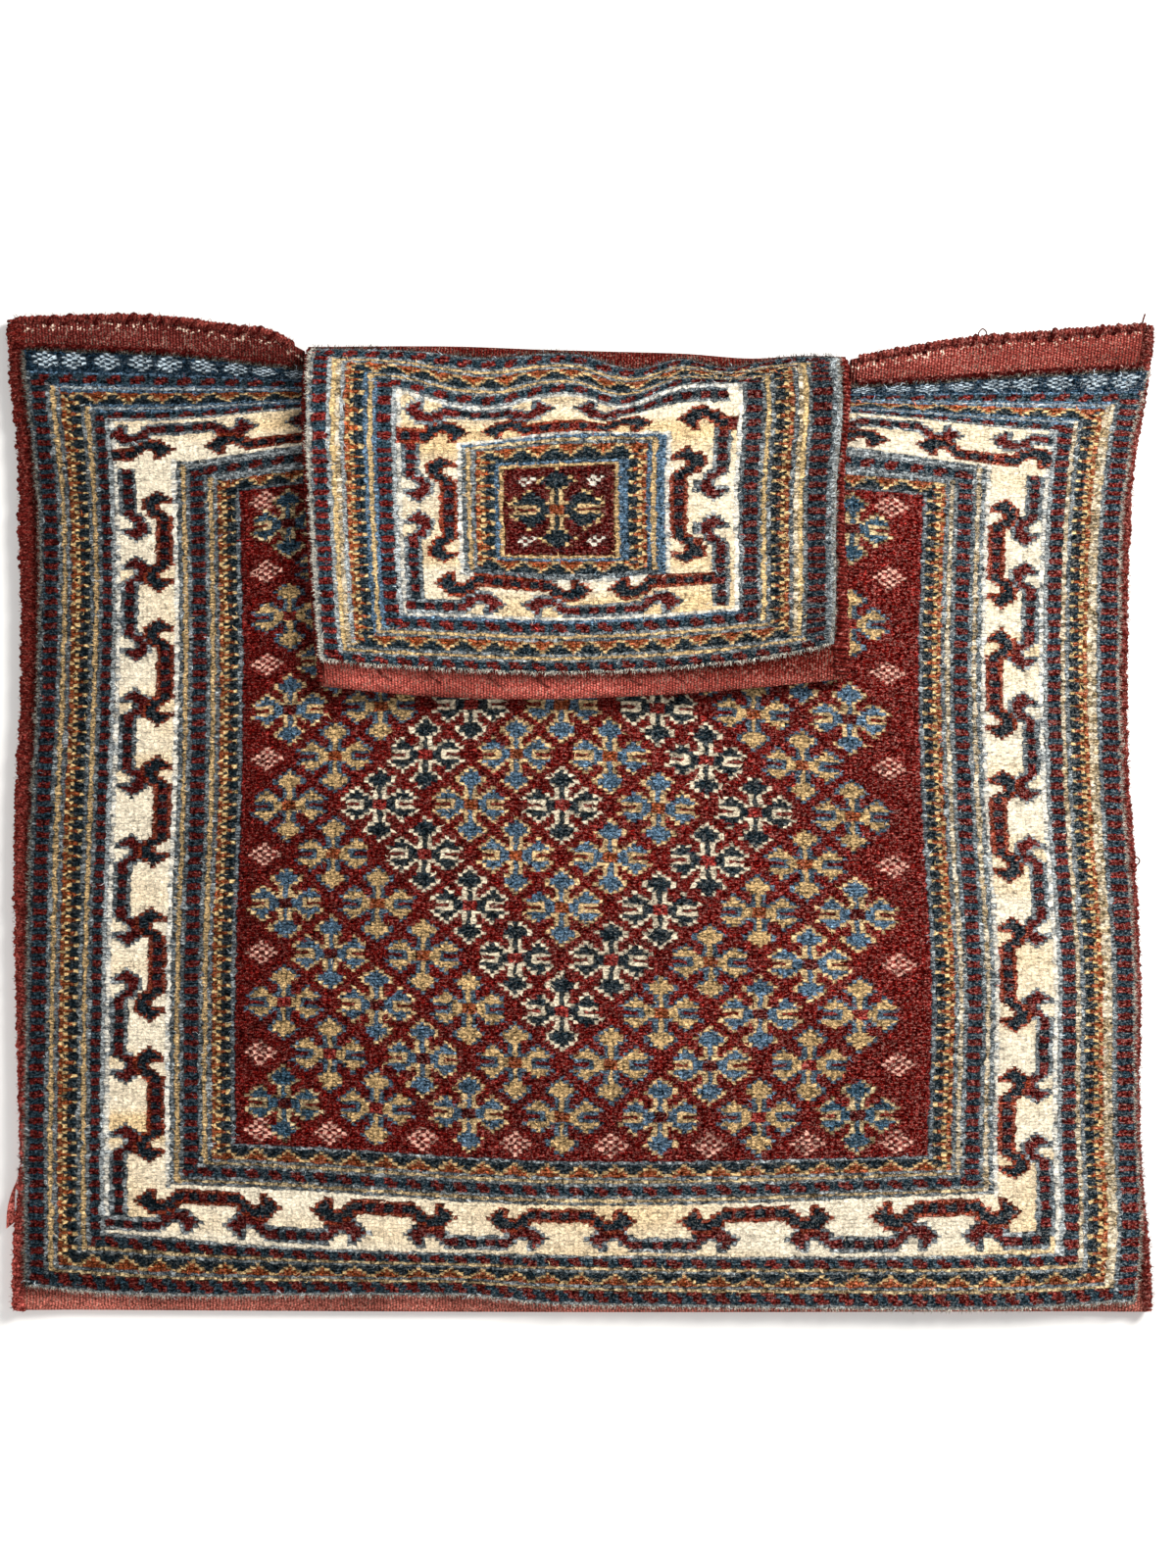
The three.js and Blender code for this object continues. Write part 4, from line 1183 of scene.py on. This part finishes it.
def beads(look, across, up):
    """Height of wefts beaten down over ribs of warp, every other rib half a weft lower."""
    ribs = look.times(across, 1 / WARP_PITCH)
    wefts = look.times(up, 1 / WEFT_PITCH)
    shifted = look.maths("MULTIPLY_ADD", look.maths("FLOOR", ribs), RIB_SHIFT, wefts)
    return look.times(look.half_wave(ribs), look.ranged(look.half_wave(shifted), *BEAD))


def weave_colour(look, across, up):
    """Red that is darker on the fold, and paler along the bottom and at the mouth."""
    colour = look.blend(look.ranged(across, 0, 1, *WEAVE_TURNS), *WEAVE)
    colour = look.blend(look.between(up, *FOLD_AT), colour, FOLD_WEAVE)
    colour = look.blend(look.between(up, *BOTTOM_TURN), colour, TURN_WEAVE)
    # Painted shade on the hem's upper right, paler towards its lower left
    slanted = look.maths("MULTIPLY_ADD", across, HEM_SLANT, up)
    hem = look.blend(look.ranged(slanted, 0, 1, *HEM_PAINTED_SHADE), *HEM_WEAVE)
    return look.blend(look.ranged(up, 0, 1, *HEM_AT), colour, hem)


def plain_weave():
    """Red wefts beaten down over ribs of warp, with pale warp showing here and there."""
    look = Look("plain_weave")
    cloth_place = look.parts(look.add("UVMap", {}, uv_map="weave")["UV"])
    across, up = cloth_place["X"], cloth_place["Y"]
    weave = beads(look, across, up)
    hairs, patches, specks = look.noise(*WEAVE_HAIRS), look.noise(*WEAVE_PATCHES), look.noise(*SPECKS)
    light = look.times(look.ranged(weave, *BEAD_LIGHT), look.ranged(hairs, *WEAVE_HAIR_LIGHT))
    light = look.times(light, look.ranged(patches, *WEAVE_PATCH_LIGHT))
    gaps = look.times(look.ranged(specks, *GAP_SPECKS), look.ranged(weave, *GAP_DEPTH))
    row = look.between(look.maths("SUBTRACT", up, EDGE_AT), *HOLES)
    shown = look.maths("MAXIMUM", gaps, look.times(row, look.ranged(specks, *HOLE_SPECKS)))
    colour = look.blend(shown, weave_colour(look, across, up), WARP_SHOWN)
    height = look.maths("MULTIPLY_ADD", hairs, HAIR_RELIEF, weave)
    return look.finish(look.nap(colour, light), height, WEAVE_BUMP)


# Pieces

def band_masks(shape, charts, head):
    """Which knots belong to the outer guard, the main border, the inner guard and the field."""
    depths = side_depths(shape, head)
    masks = []
    within = np.ones(shape, bool)
    for line in (lambda chart: border_ends(chart)[0], lambda chart: border_ends(chart)[1] + 1, len):
        deeper = np.ones(shape, bool)
        for side, depth in depths.items():
            deeper &= depth >= line(charts[side])
        masks.append(within & ~deeper)
        within = deeper
    return [*masks, within]


def make_pile(prefix, pile, charts, head, wool):
    """The knots of one pile, band by band."""
    pieces = []
    for (part, slot), mask in zip(PILE_PARTS, band_masks(pile.shape, charts, head)):
        name = f"{prefix}_{part}"
        pieces.append(add_piece(f"{name}_knots", pile.mesh(name, mask), wool, [name]))
    return pieces


def make_fibres(prefix, pile, count, bleached, rng, wool):
    """Loose fibres on a pile and along its four edges. bleached is how pale those at the edges are."""
    *made, colours = loose_fibres(pile, count, rng)
    pieces = [add_fibres(f"{prefix}_pile_fibres", made, colours, wool)]
    tips = pile.tips - EDGE_DROP * UP
    for side, line, turn in (
        ("left", tips[:, 0], math.pi), ("right", tips[:, -1], 0),
        ("bottom", tips[0], -math.pi / 2), ("top", tips[-1], math.pi / 2),
    ):
        number = EDGE_DENSITY * len(line)
        made = edge_fibres(line, turn, number, rng)
        colours = linear(WOOL["white"]) * bleached[side] * rng.uniform(*EDGE_SHADES, (number, 1))
        pieces.append(add_fibres(f"{prefix}_{side}_edge_fibres", made, colours, wool))
    return pieces


def grid_faces(rows, columns, flip):
    start = np.arange(rows - 1)[:, None] * columns + np.arange(columns - 1)
    faces = np.stack([start, start + 1, start + columns + 1, start + columns], -1).reshape(-1, 4)
    return faces[:, ::-1] if flip else faces


def cloth_edges(y):
    t = height_share(y)
    return through(LEFT_BINDING, t) + LEFT_INSET, through(RIGHT_BINDING, t) - RIGHT_INSET


def cloth_x(share, y):
    return mix(*cloth_edges(y), share)


def share_of(x, y):
    left, right = cloth_edges(y)
    return (x - left) / (right - left)


class Cloth:
    """Grids of cloth, gathered until they are welded into one sheet."""

    def __init__(self):
        self.parts = []
        self.runs = []

    def add(self, points, u, v, flip):
        """A grid of points, with lengths of cloth across and along it."""
        shape = points.shape[:2]
        self.parts.append((points.reshape(-1, 3), grid_faces(*shape, flip)))
        self.runs.append(np.stack([np.broadcast_to(u, shape), np.broadcast_to(v, shape)], -1).reshape(-1, 2))

    def add_layers(self, columns, low, high, count, stretch=0):
        """The front and the back between two lines."""
        y = mix(low, high, np.linspace(0, 1, count)[:, None])
        x = cloth_x(columns, y)
        run = y + stretch
        for height, v, flip in ((front_height, run, False), (back_height, -run - BACK_RUN, True)):
            self.add(np.stack([x, y, height(x, y)], -1), columns * WEAVE_WIDTH, v, flip)

    def add_turn(self, columns, low):
        """The fold along the bottom, from the back round to the front."""
        angle = np.linspace(-math.pi / 2, math.pi / 2, TURN_ROWS)[:, None]
        x = np.broadcast_to(cloth_x(columns, low), (TURN_ROWS, len(columns)))
        below, above = back_height(x, low), front_height(x, low)
        y = low - (above - below) / 2 * np.cos(angle)
        z = (above + below) / 2 + (above - below) / 2 * np.sin(angle)
        width = RIGHT_BINDING[0][1] - LEFT_BINDING[0][1]
        self.add(np.stack([x, y, z], -1), columns * width, TURN_RUN + TURN_LENGTH * angle, True)

    def mesh(self, name):
        points, faces = joined(self.parts)
        mesh = new_mesh(name, points, faces)
        runs = np.concatenate(self.runs)
        layer = mesh.uv_layers.new(name="weave")
        layer.uv.foreach_set("vector", runs[faces.ravel()].astype(np.float32).ravel())
        shape = bmesh.new()
        shape.from_mesh(mesh)
        bmesh.ops.remove_doubles(shape, verts=shape.verts, dist=WELD * MM)
        bmesh.ops.recalc_face_normals(shape, faces=shape.faces)
        shape.to_mesh(mesh)
        shape.free()
        return mesh


def flap_wall_x(across, y):
    return mix(through(NECK_LEFT, y) - NECK_SELVEDGE, through(NECK_OUTER, y) - NECK_INSET, across)


def neck_wall(across, out):
    """One wall of the neck, from the bag round the fold and down to the mouth."""
    centre = fold_centre_y(across)
    radius = FOLD_RADIUS + out
    angle = np.linspace(-math.pi / 2, math.pi / 2, FOLD_ROWS)[:, None]
    fold_y = centre + radius * np.cos(angle)
    fold_z = np.broadcast_to(FOLD_CENTRE + radius * np.sin(angle), fold_y.shape)
    fold_x = np.broadcast_to(flap_wall_x(across, centre), fold_y.shape)
    y = mix(centre, through(MOUTH, across), np.linspace(0, 1, FLAP_ROWS)[1:, None])
    x = flap_wall_x(across, y)
    z = flap_height(x, y, across, out)
    return np.concatenate([np.stack([fold_x, fold_y, fold_z], -1), np.stack([x, y, z], -1)])


def make_cloth(weave):
    """The ground cloth: front, bottom fold, back, shoulders and the two walls of the neck in one sheet."""
    across = np.linspace(0, 1, NECK_STEPS + 1)
    neck_y = fold_centre_y(across)
    neck = share_of(flap_wall_x(across, neck_y), neck_y)
    left = np.linspace(0, 1, SHOULDER_STEPS + 1) * (neck[0] - NECK_GAP)
    right = 1 - np.linspace(1, 0, SHOULDER_STEPS + 1) * (1 - neck[-1] - NECK_GAP)
    whole = np.concatenate([left, neck, right])
    low = through(BOTTOM_FOLD, whole) + (LAYERS + CLOTH) / 2
    grids = Cloth()
    grids.add_layers(whole, low, through(PILE_TOP, whole), BODY_ROWS)
    grids.add_turn(whole, low)
    for columns in (left, right):
        edge = through(SHOULDER, columns) - SHOULDER_INSET
        grids.add_layers(columns, through(PILE_TOP, columns), edge, SHOULDER_ROWS, EDGE_AT - edge)
    grids.add_layers(neck, through(PILE_TOP, neck), neck_y, NECK_FOOT_ROWS)
    for out in (-WALL, WALL):
        wall = neck_wall(across, out)
        run = NECK_RUN + lengths(wall[:, NECK_STEPS // 2])
        grids.add(wall, neck * WEAVE_WIDTH, run[:, None], out > 0)
    name = "ground_cloth_sheet"
    piece = add_piece(name, grids.mesh(name), weave, ["ground_cloth"])
    thick = piece.modifiers.new("thickness", "SOLIDIFY")
    thick.thickness = SHEET * MM
    thick.offset = 0
    return piece


def fuzzed(name, line_points, half_width, half_height, count, rng, wool):
    """Fibres that lie across a binding, which follows a line."""
    line, way, _ = spaced(line_points, FUZZ_STEP)
    at = rng.integers(0, len(line), count)
    turn = math.pi * rng.uniform(*FUZZ_AROUND, count)
    sideways = np.stack([way[at, 1], -way[at, 0], np.zeros(count)], 1)
    width = half_width(at / len(line))
    out = (np.cos(turn) * (width + YARN))[:, None] * sideways
    out = out + (np.sin(turn) * (half_height + YARN))[:, None] * UP
    lie = np.arctan2(sideways[:, 1], sideways[:, 0]) + rng.normal(0, FUZZ_TURN, count)
    lie = lie + math.pi * rng.integers(0, 2, count)
    colours = mix(*linear(FUZZ_SHADES), rng.random((count, 1)) ** 2)
    made = fibres(line[at] + out, lie, rng.uniform(*FUZZ_LENGTH, count), rng)
    return add_fibres(name, made, colours, wool)


def make_side_overcast(side, yarn, wool, rng):
    """Yarn wound over a side edge, at mid height of the cloth's two layers, and its fuzz."""
    line, halves, inward, high = SIDES[side]

    def width(share):
        return through(halves, share)

    y = np.linspace(through(BOTTOM_FOLD, 0.5) + SIDE_FOOT, high, SIDE_STEPS)
    x = through(line, height_share(y)) + inward * (width(np.linspace(0, 1, SIDE_STEPS)) + SIDE_INSET)
    points = np.stack([x, y, np.full(SIDE_STEPS, BACK_UP + RISE + LAYERS / 2)], 1)
    half_height = (LAYERS + CLOTH) / 2 + SIDE_COVER
    node = f"{side}_side_overcast"
    made = wound(points, width, half_height, SIDE_PITCH, YARN, rng)
    return (
        add_piece(f"{node}_yarn", new_mesh(node, *made), yarn, [node]),
        fuzzed(f"{node}_fuzz", points, width, half_height, SIDE_FUZZ, rng, wool),
    )


def make_shoulder(side, roll, yarn, wool, rng):
    """The rolled top edge of a shoulder, with its fuzz and whip stitches, and the cord along its foot."""
    shares = np.linspace(*SHOULDER_ENDS[side], SHOULDER_POINTS)
    edge_y = through(SHOULDER, shares)
    x = cloth_x(shares, edge_y)
    edge = np.stack([x, edge_y - ROLL_DROP, front_height(x, edge_y) - LAYERS / 2], 1)
    half_height = (LAYERS + CLOTH) / 2 + ROLL_COVER
    node = f"{side}_shoulder_overcast"
    rolled = wound(edge, steady(ROLL_HALF), half_height, ROLL_PITCH, THIN_YARN, rng)
    lower = edge - [0, STITCH_LOW, 0]
    stitches = wound(lower, steady(STITCH_HALF), half_height + STITCH_COVER, STITCH_PITCH, STITCH_YARN, rng)
    foot_y = through(PILE_TOP, shares) + CORD_UP
    x = cloth_x(shares, foot_y)
    foot = np.stack([x, foot_y, front_height(x, foot_y) + CLOTH / 2 + CORD_HEIGHT], 1)
    twisted = plied(foot, CORD_YARN, CORD_PLY, CORD_STEP)
    cord = f"{side}_shoulder_cord"
    return (
        add_piece(f"{node}_yarn", new_mesh(node, *rolled), roll, [node]),
        add_piece(f"{node}_stitches", new_mesh(node, *stitches), yarn),
        fuzzed(f"{node}_fuzz", edge, steady(FUZZ_HALF), half_height - ROLL_COVER, SHOULDER_FUZZ, rng, wool),
        add_piece(f"{cord}_yarn", new_mesh(cord, *twisted), yarn, [cord]),
    )


def strand(points, radius):
    """A yarn through a few points."""
    points = np.array(points, float)
    given = np.linspace(0, 1, len(points))
    fine = np.linspace(0, 1, STRAND_POINTS * len(points))
    line = np.stack([through(np.stack([given, points[:, k]], 1), fine) for k in range(3)], 1)
    return tube(line, np.tile(UP, (len(line), 1)), radius)


def hem_thread(x):
    """A loose thread that slants down over the hem."""
    line_x = x + HEM_RUN
    share = (line_x - NECK_LEFT[0][1]) / (NECK_RIGHT[0][1] - NECK_LEFT[0][1])
    line_y = through(NECK_PILE_BOTTOM, share) - HEM_START - HEM_DROP
    height = flap_height(line_x, line_y, share, WALL) + SHEET / 2 + HEM_CLEAR
    return strand(np.stack([line_x, line_y, height], 1), HEM_YARN)


def make_loose_yarns(yarn, binding):
    """Tuft at the left edge, hem threads, loop at the right edge, loop and end at the right shoulder."""
    tuft = [
        strand(np.array(TUFT) + GOLDEN * k % 1 * np.array(TUFT_SPREAD), TUFT_YARN) for k in range(TUFT_YARNS)
    ]
    ends = [strand(LOOP, LOOP_YARN), strand(THREAD_END, END_YARN)]
    return [
        add_piece(name, new_mesh(name, *joined(strands)), wool)
        for name, strands, wool in (
            ("left_side_tuft", tuft, yarn),
            ("hem_threads", [hem_thread(x) for x in HEM_STITCHES], yarn),
            ("right_side_loop", [strand(SIDE_LOOP, LOOP_YARN)], binding),
            ("right_shoulder_threads", ends, binding),
        )
    ]


def make_neck_overcast(side, yarn, rng):
    """Yarn wound over one edge of the neck, from the fold down to the mouth."""
    right = side == "right"
    share = 1.0 if right else 0.0
    centre = float(fold_centre_y(share))
    angle = np.linspace(0, math.pi / 2, NECK_TURN_POINTS)[:-1]
    flat_y = np.linspace(centre, float(through(MOUTH, share)) + NECK_EDGE_FOOT, NECK_EDGE_POINTS)
    y = np.concatenate([centre + FOLD_RADIUS * np.cos(angle), flat_y])
    inner, outer = through(NECK_RIGHT, y), through(NECK_OUTER, y)
    edge = (inner + outer) / 2 if right else through(NECK_LEFT, y) - NECK_SELVEDGE
    flat_z = flap_height(edge[len(angle):], flat_y, np.full(NECK_EDGE_POINTS, share), 0.0)
    z = np.concatenate([FOLD_CENTRE + FOLD_RADIUS * np.sin(angle), flat_z])
    halves = (outer - inner) / 2 - RIGHT_NECK_INSET if right else np.full(len(y), LEFT_NECK_HALF)

    def width(at):
        return np.interp(at, np.linspace(0, 1, len(y)), halves)

    half_height = WALL + CLOTH / 2 + NECK_COVER
    made = wound(np.stack([edge, y, z], 1), width, half_height, SIDE_PITCH, THIN_YARN, rng)
    name = f"neck_{side}_overcast"
    return add_piece(f"{name}_yarn", new_mesh(name, *made), yarn, [name])


# Stage

def floor_paper():
    """Pale paper that the camera sees as plain white further off."""
    look = Look("floor_paper")
    look.put(look.shader.inputs["Base Color"], (PAPER, PAPER, PAPER, 1))
    distance = look.add("VectorMath", {0: look.place()}, operation="LENGTH")["Value"]
    seen = look.add("LightPath", {})["Is Camera Ray"]
    far = look.times(look.ranged(distance, 0, 1, *BACKDROP), seen)
    white = look.add("Emission", {})["Emission"]
    both = look.add("MixShader", {"Fac": far, 1: look.shader.outputs["BSDF"], 2: white})["Shader"]
    look.put(look.nodes["Material Output"].inputs["Surface"], both)
    return look.material


def make_stage():
    corners = [(x, y, -FLOOR_DROP) for x, y in ((-1, -1), (1, -1), (1, 1), (-1, 1))]
    mesh = new_mesh("floor", np.array(corners) * [FLOOR_HALF, FLOOR_HALF, 1], np.array([[0, 1, 2, 3]]))
    floor = bpy.data.objects.new("floor", mesh)
    bpy.context.scene.collection.objects.link(floor)
    floor.data.materials.append(floor_paper())
    world = bpy.data.worlds.new("studio")
    world.use_nodes = True
    sky = Nodes(world.node_tree)
    background = sky.nodes["Background"].inputs
    sky.put(background["Color"], (1, 1, 1, 1))
    seen = sky.add("LightPath", {})["Is Camera Ray"]
    sky.put(background["Strength"], sky.ranged(seen, AMBIENT, 1, 0, 1))
    bpy.context.scene.world = world


def add_lamp(name, place, size, power):
    """A square lamp that shines at the middle of the bag."""
    lamp = bpy.data.lights.new(name, "AREA")
    lamp.size = size
    lamp.energy = power
    lamp.color = WARM
    made = bpy.data.objects.new(name, lamp)
    made.location = place
    made.rotation_mode = "QUATERNION"
    made.rotation_quaternion = made.location.to_track_quat("Z", "Y")
    bpy.context.scene.collection.objects.link(made)


def add_camera():
    """A camera that looks straight down, as far off as its lens needs to see what the photograph shows."""
    camera = bpy.data.cameras.new("camera")
    camera.lens = LENS
    camera.sensor_width = SENSOR
    made = bpy.data.objects.new("camera", camera)
    distance = LENS * PHOTO[1] * PIXEL / SENSOR
    made.location = (VIEW_CENTRE[0] * MM, VIEW_CENTRE[1] * MM, (VIEW_CENTRE[2] + distance) * MM)
    bpy.context.scene.collection.objects.link(made)
    bpy.context.scene.camera = made


bpy.context.scene.view_settings.view_transform = "Standard"
make_stage()
for lamp_sizes in LAMPS:
    add_lamp(*lamp_sizes)
add_camera()

draws = np.random.default_rng(YARN_SEED)
pile_wool = wool_pile()
cloth_weave = plain_weave()
overcasting, stitching, rolling, loose_yarn = [yarn_material(name, srgb) for name, srgb in YARNS.items()]
front_knots = Pile(front_canvas(), front, FRONT_NAP_SHEEN, FRONT_YELLOWED, FRONT_SEED)
neck_knots = Pile(neck_canvas(), flap, NECK_NAP_SHEEN, NECK_YELLOWED, NECK_SEED)
front_pile = make_pile("front", front_knots, FRONT_CHARTS, HEAD, pile_wool)
neck_pile = make_pile("neck", neck_knots, NECK_CHARTS, 0, pile_wool)
fuzz = [
    *make_fibres("front", front_knots, FRONT_FIBRES, FRONT_BLEACHED, draws, pile_wool),
    *make_fibres("neck", neck_knots, NECK_FIBRES, NECK_BLEACHED, draws, pile_wool),
]
cloth = make_cloth(cloth_weave)
edges = [
    *make_side_overcast("left", overcasting, pile_wool, draws),
    *make_side_overcast("right", overcasting, pile_wool, draws),
    *make_shoulder("left", rolling, stitching, pile_wool, draws),
    *make_shoulder("right", rolling, stitching, pile_wool, draws),
    make_neck_overcast("left", overcasting, draws),
    make_neck_overcast("right", overcasting, draws),
    *make_loose_yarns(loose_yarn, stitching),
]
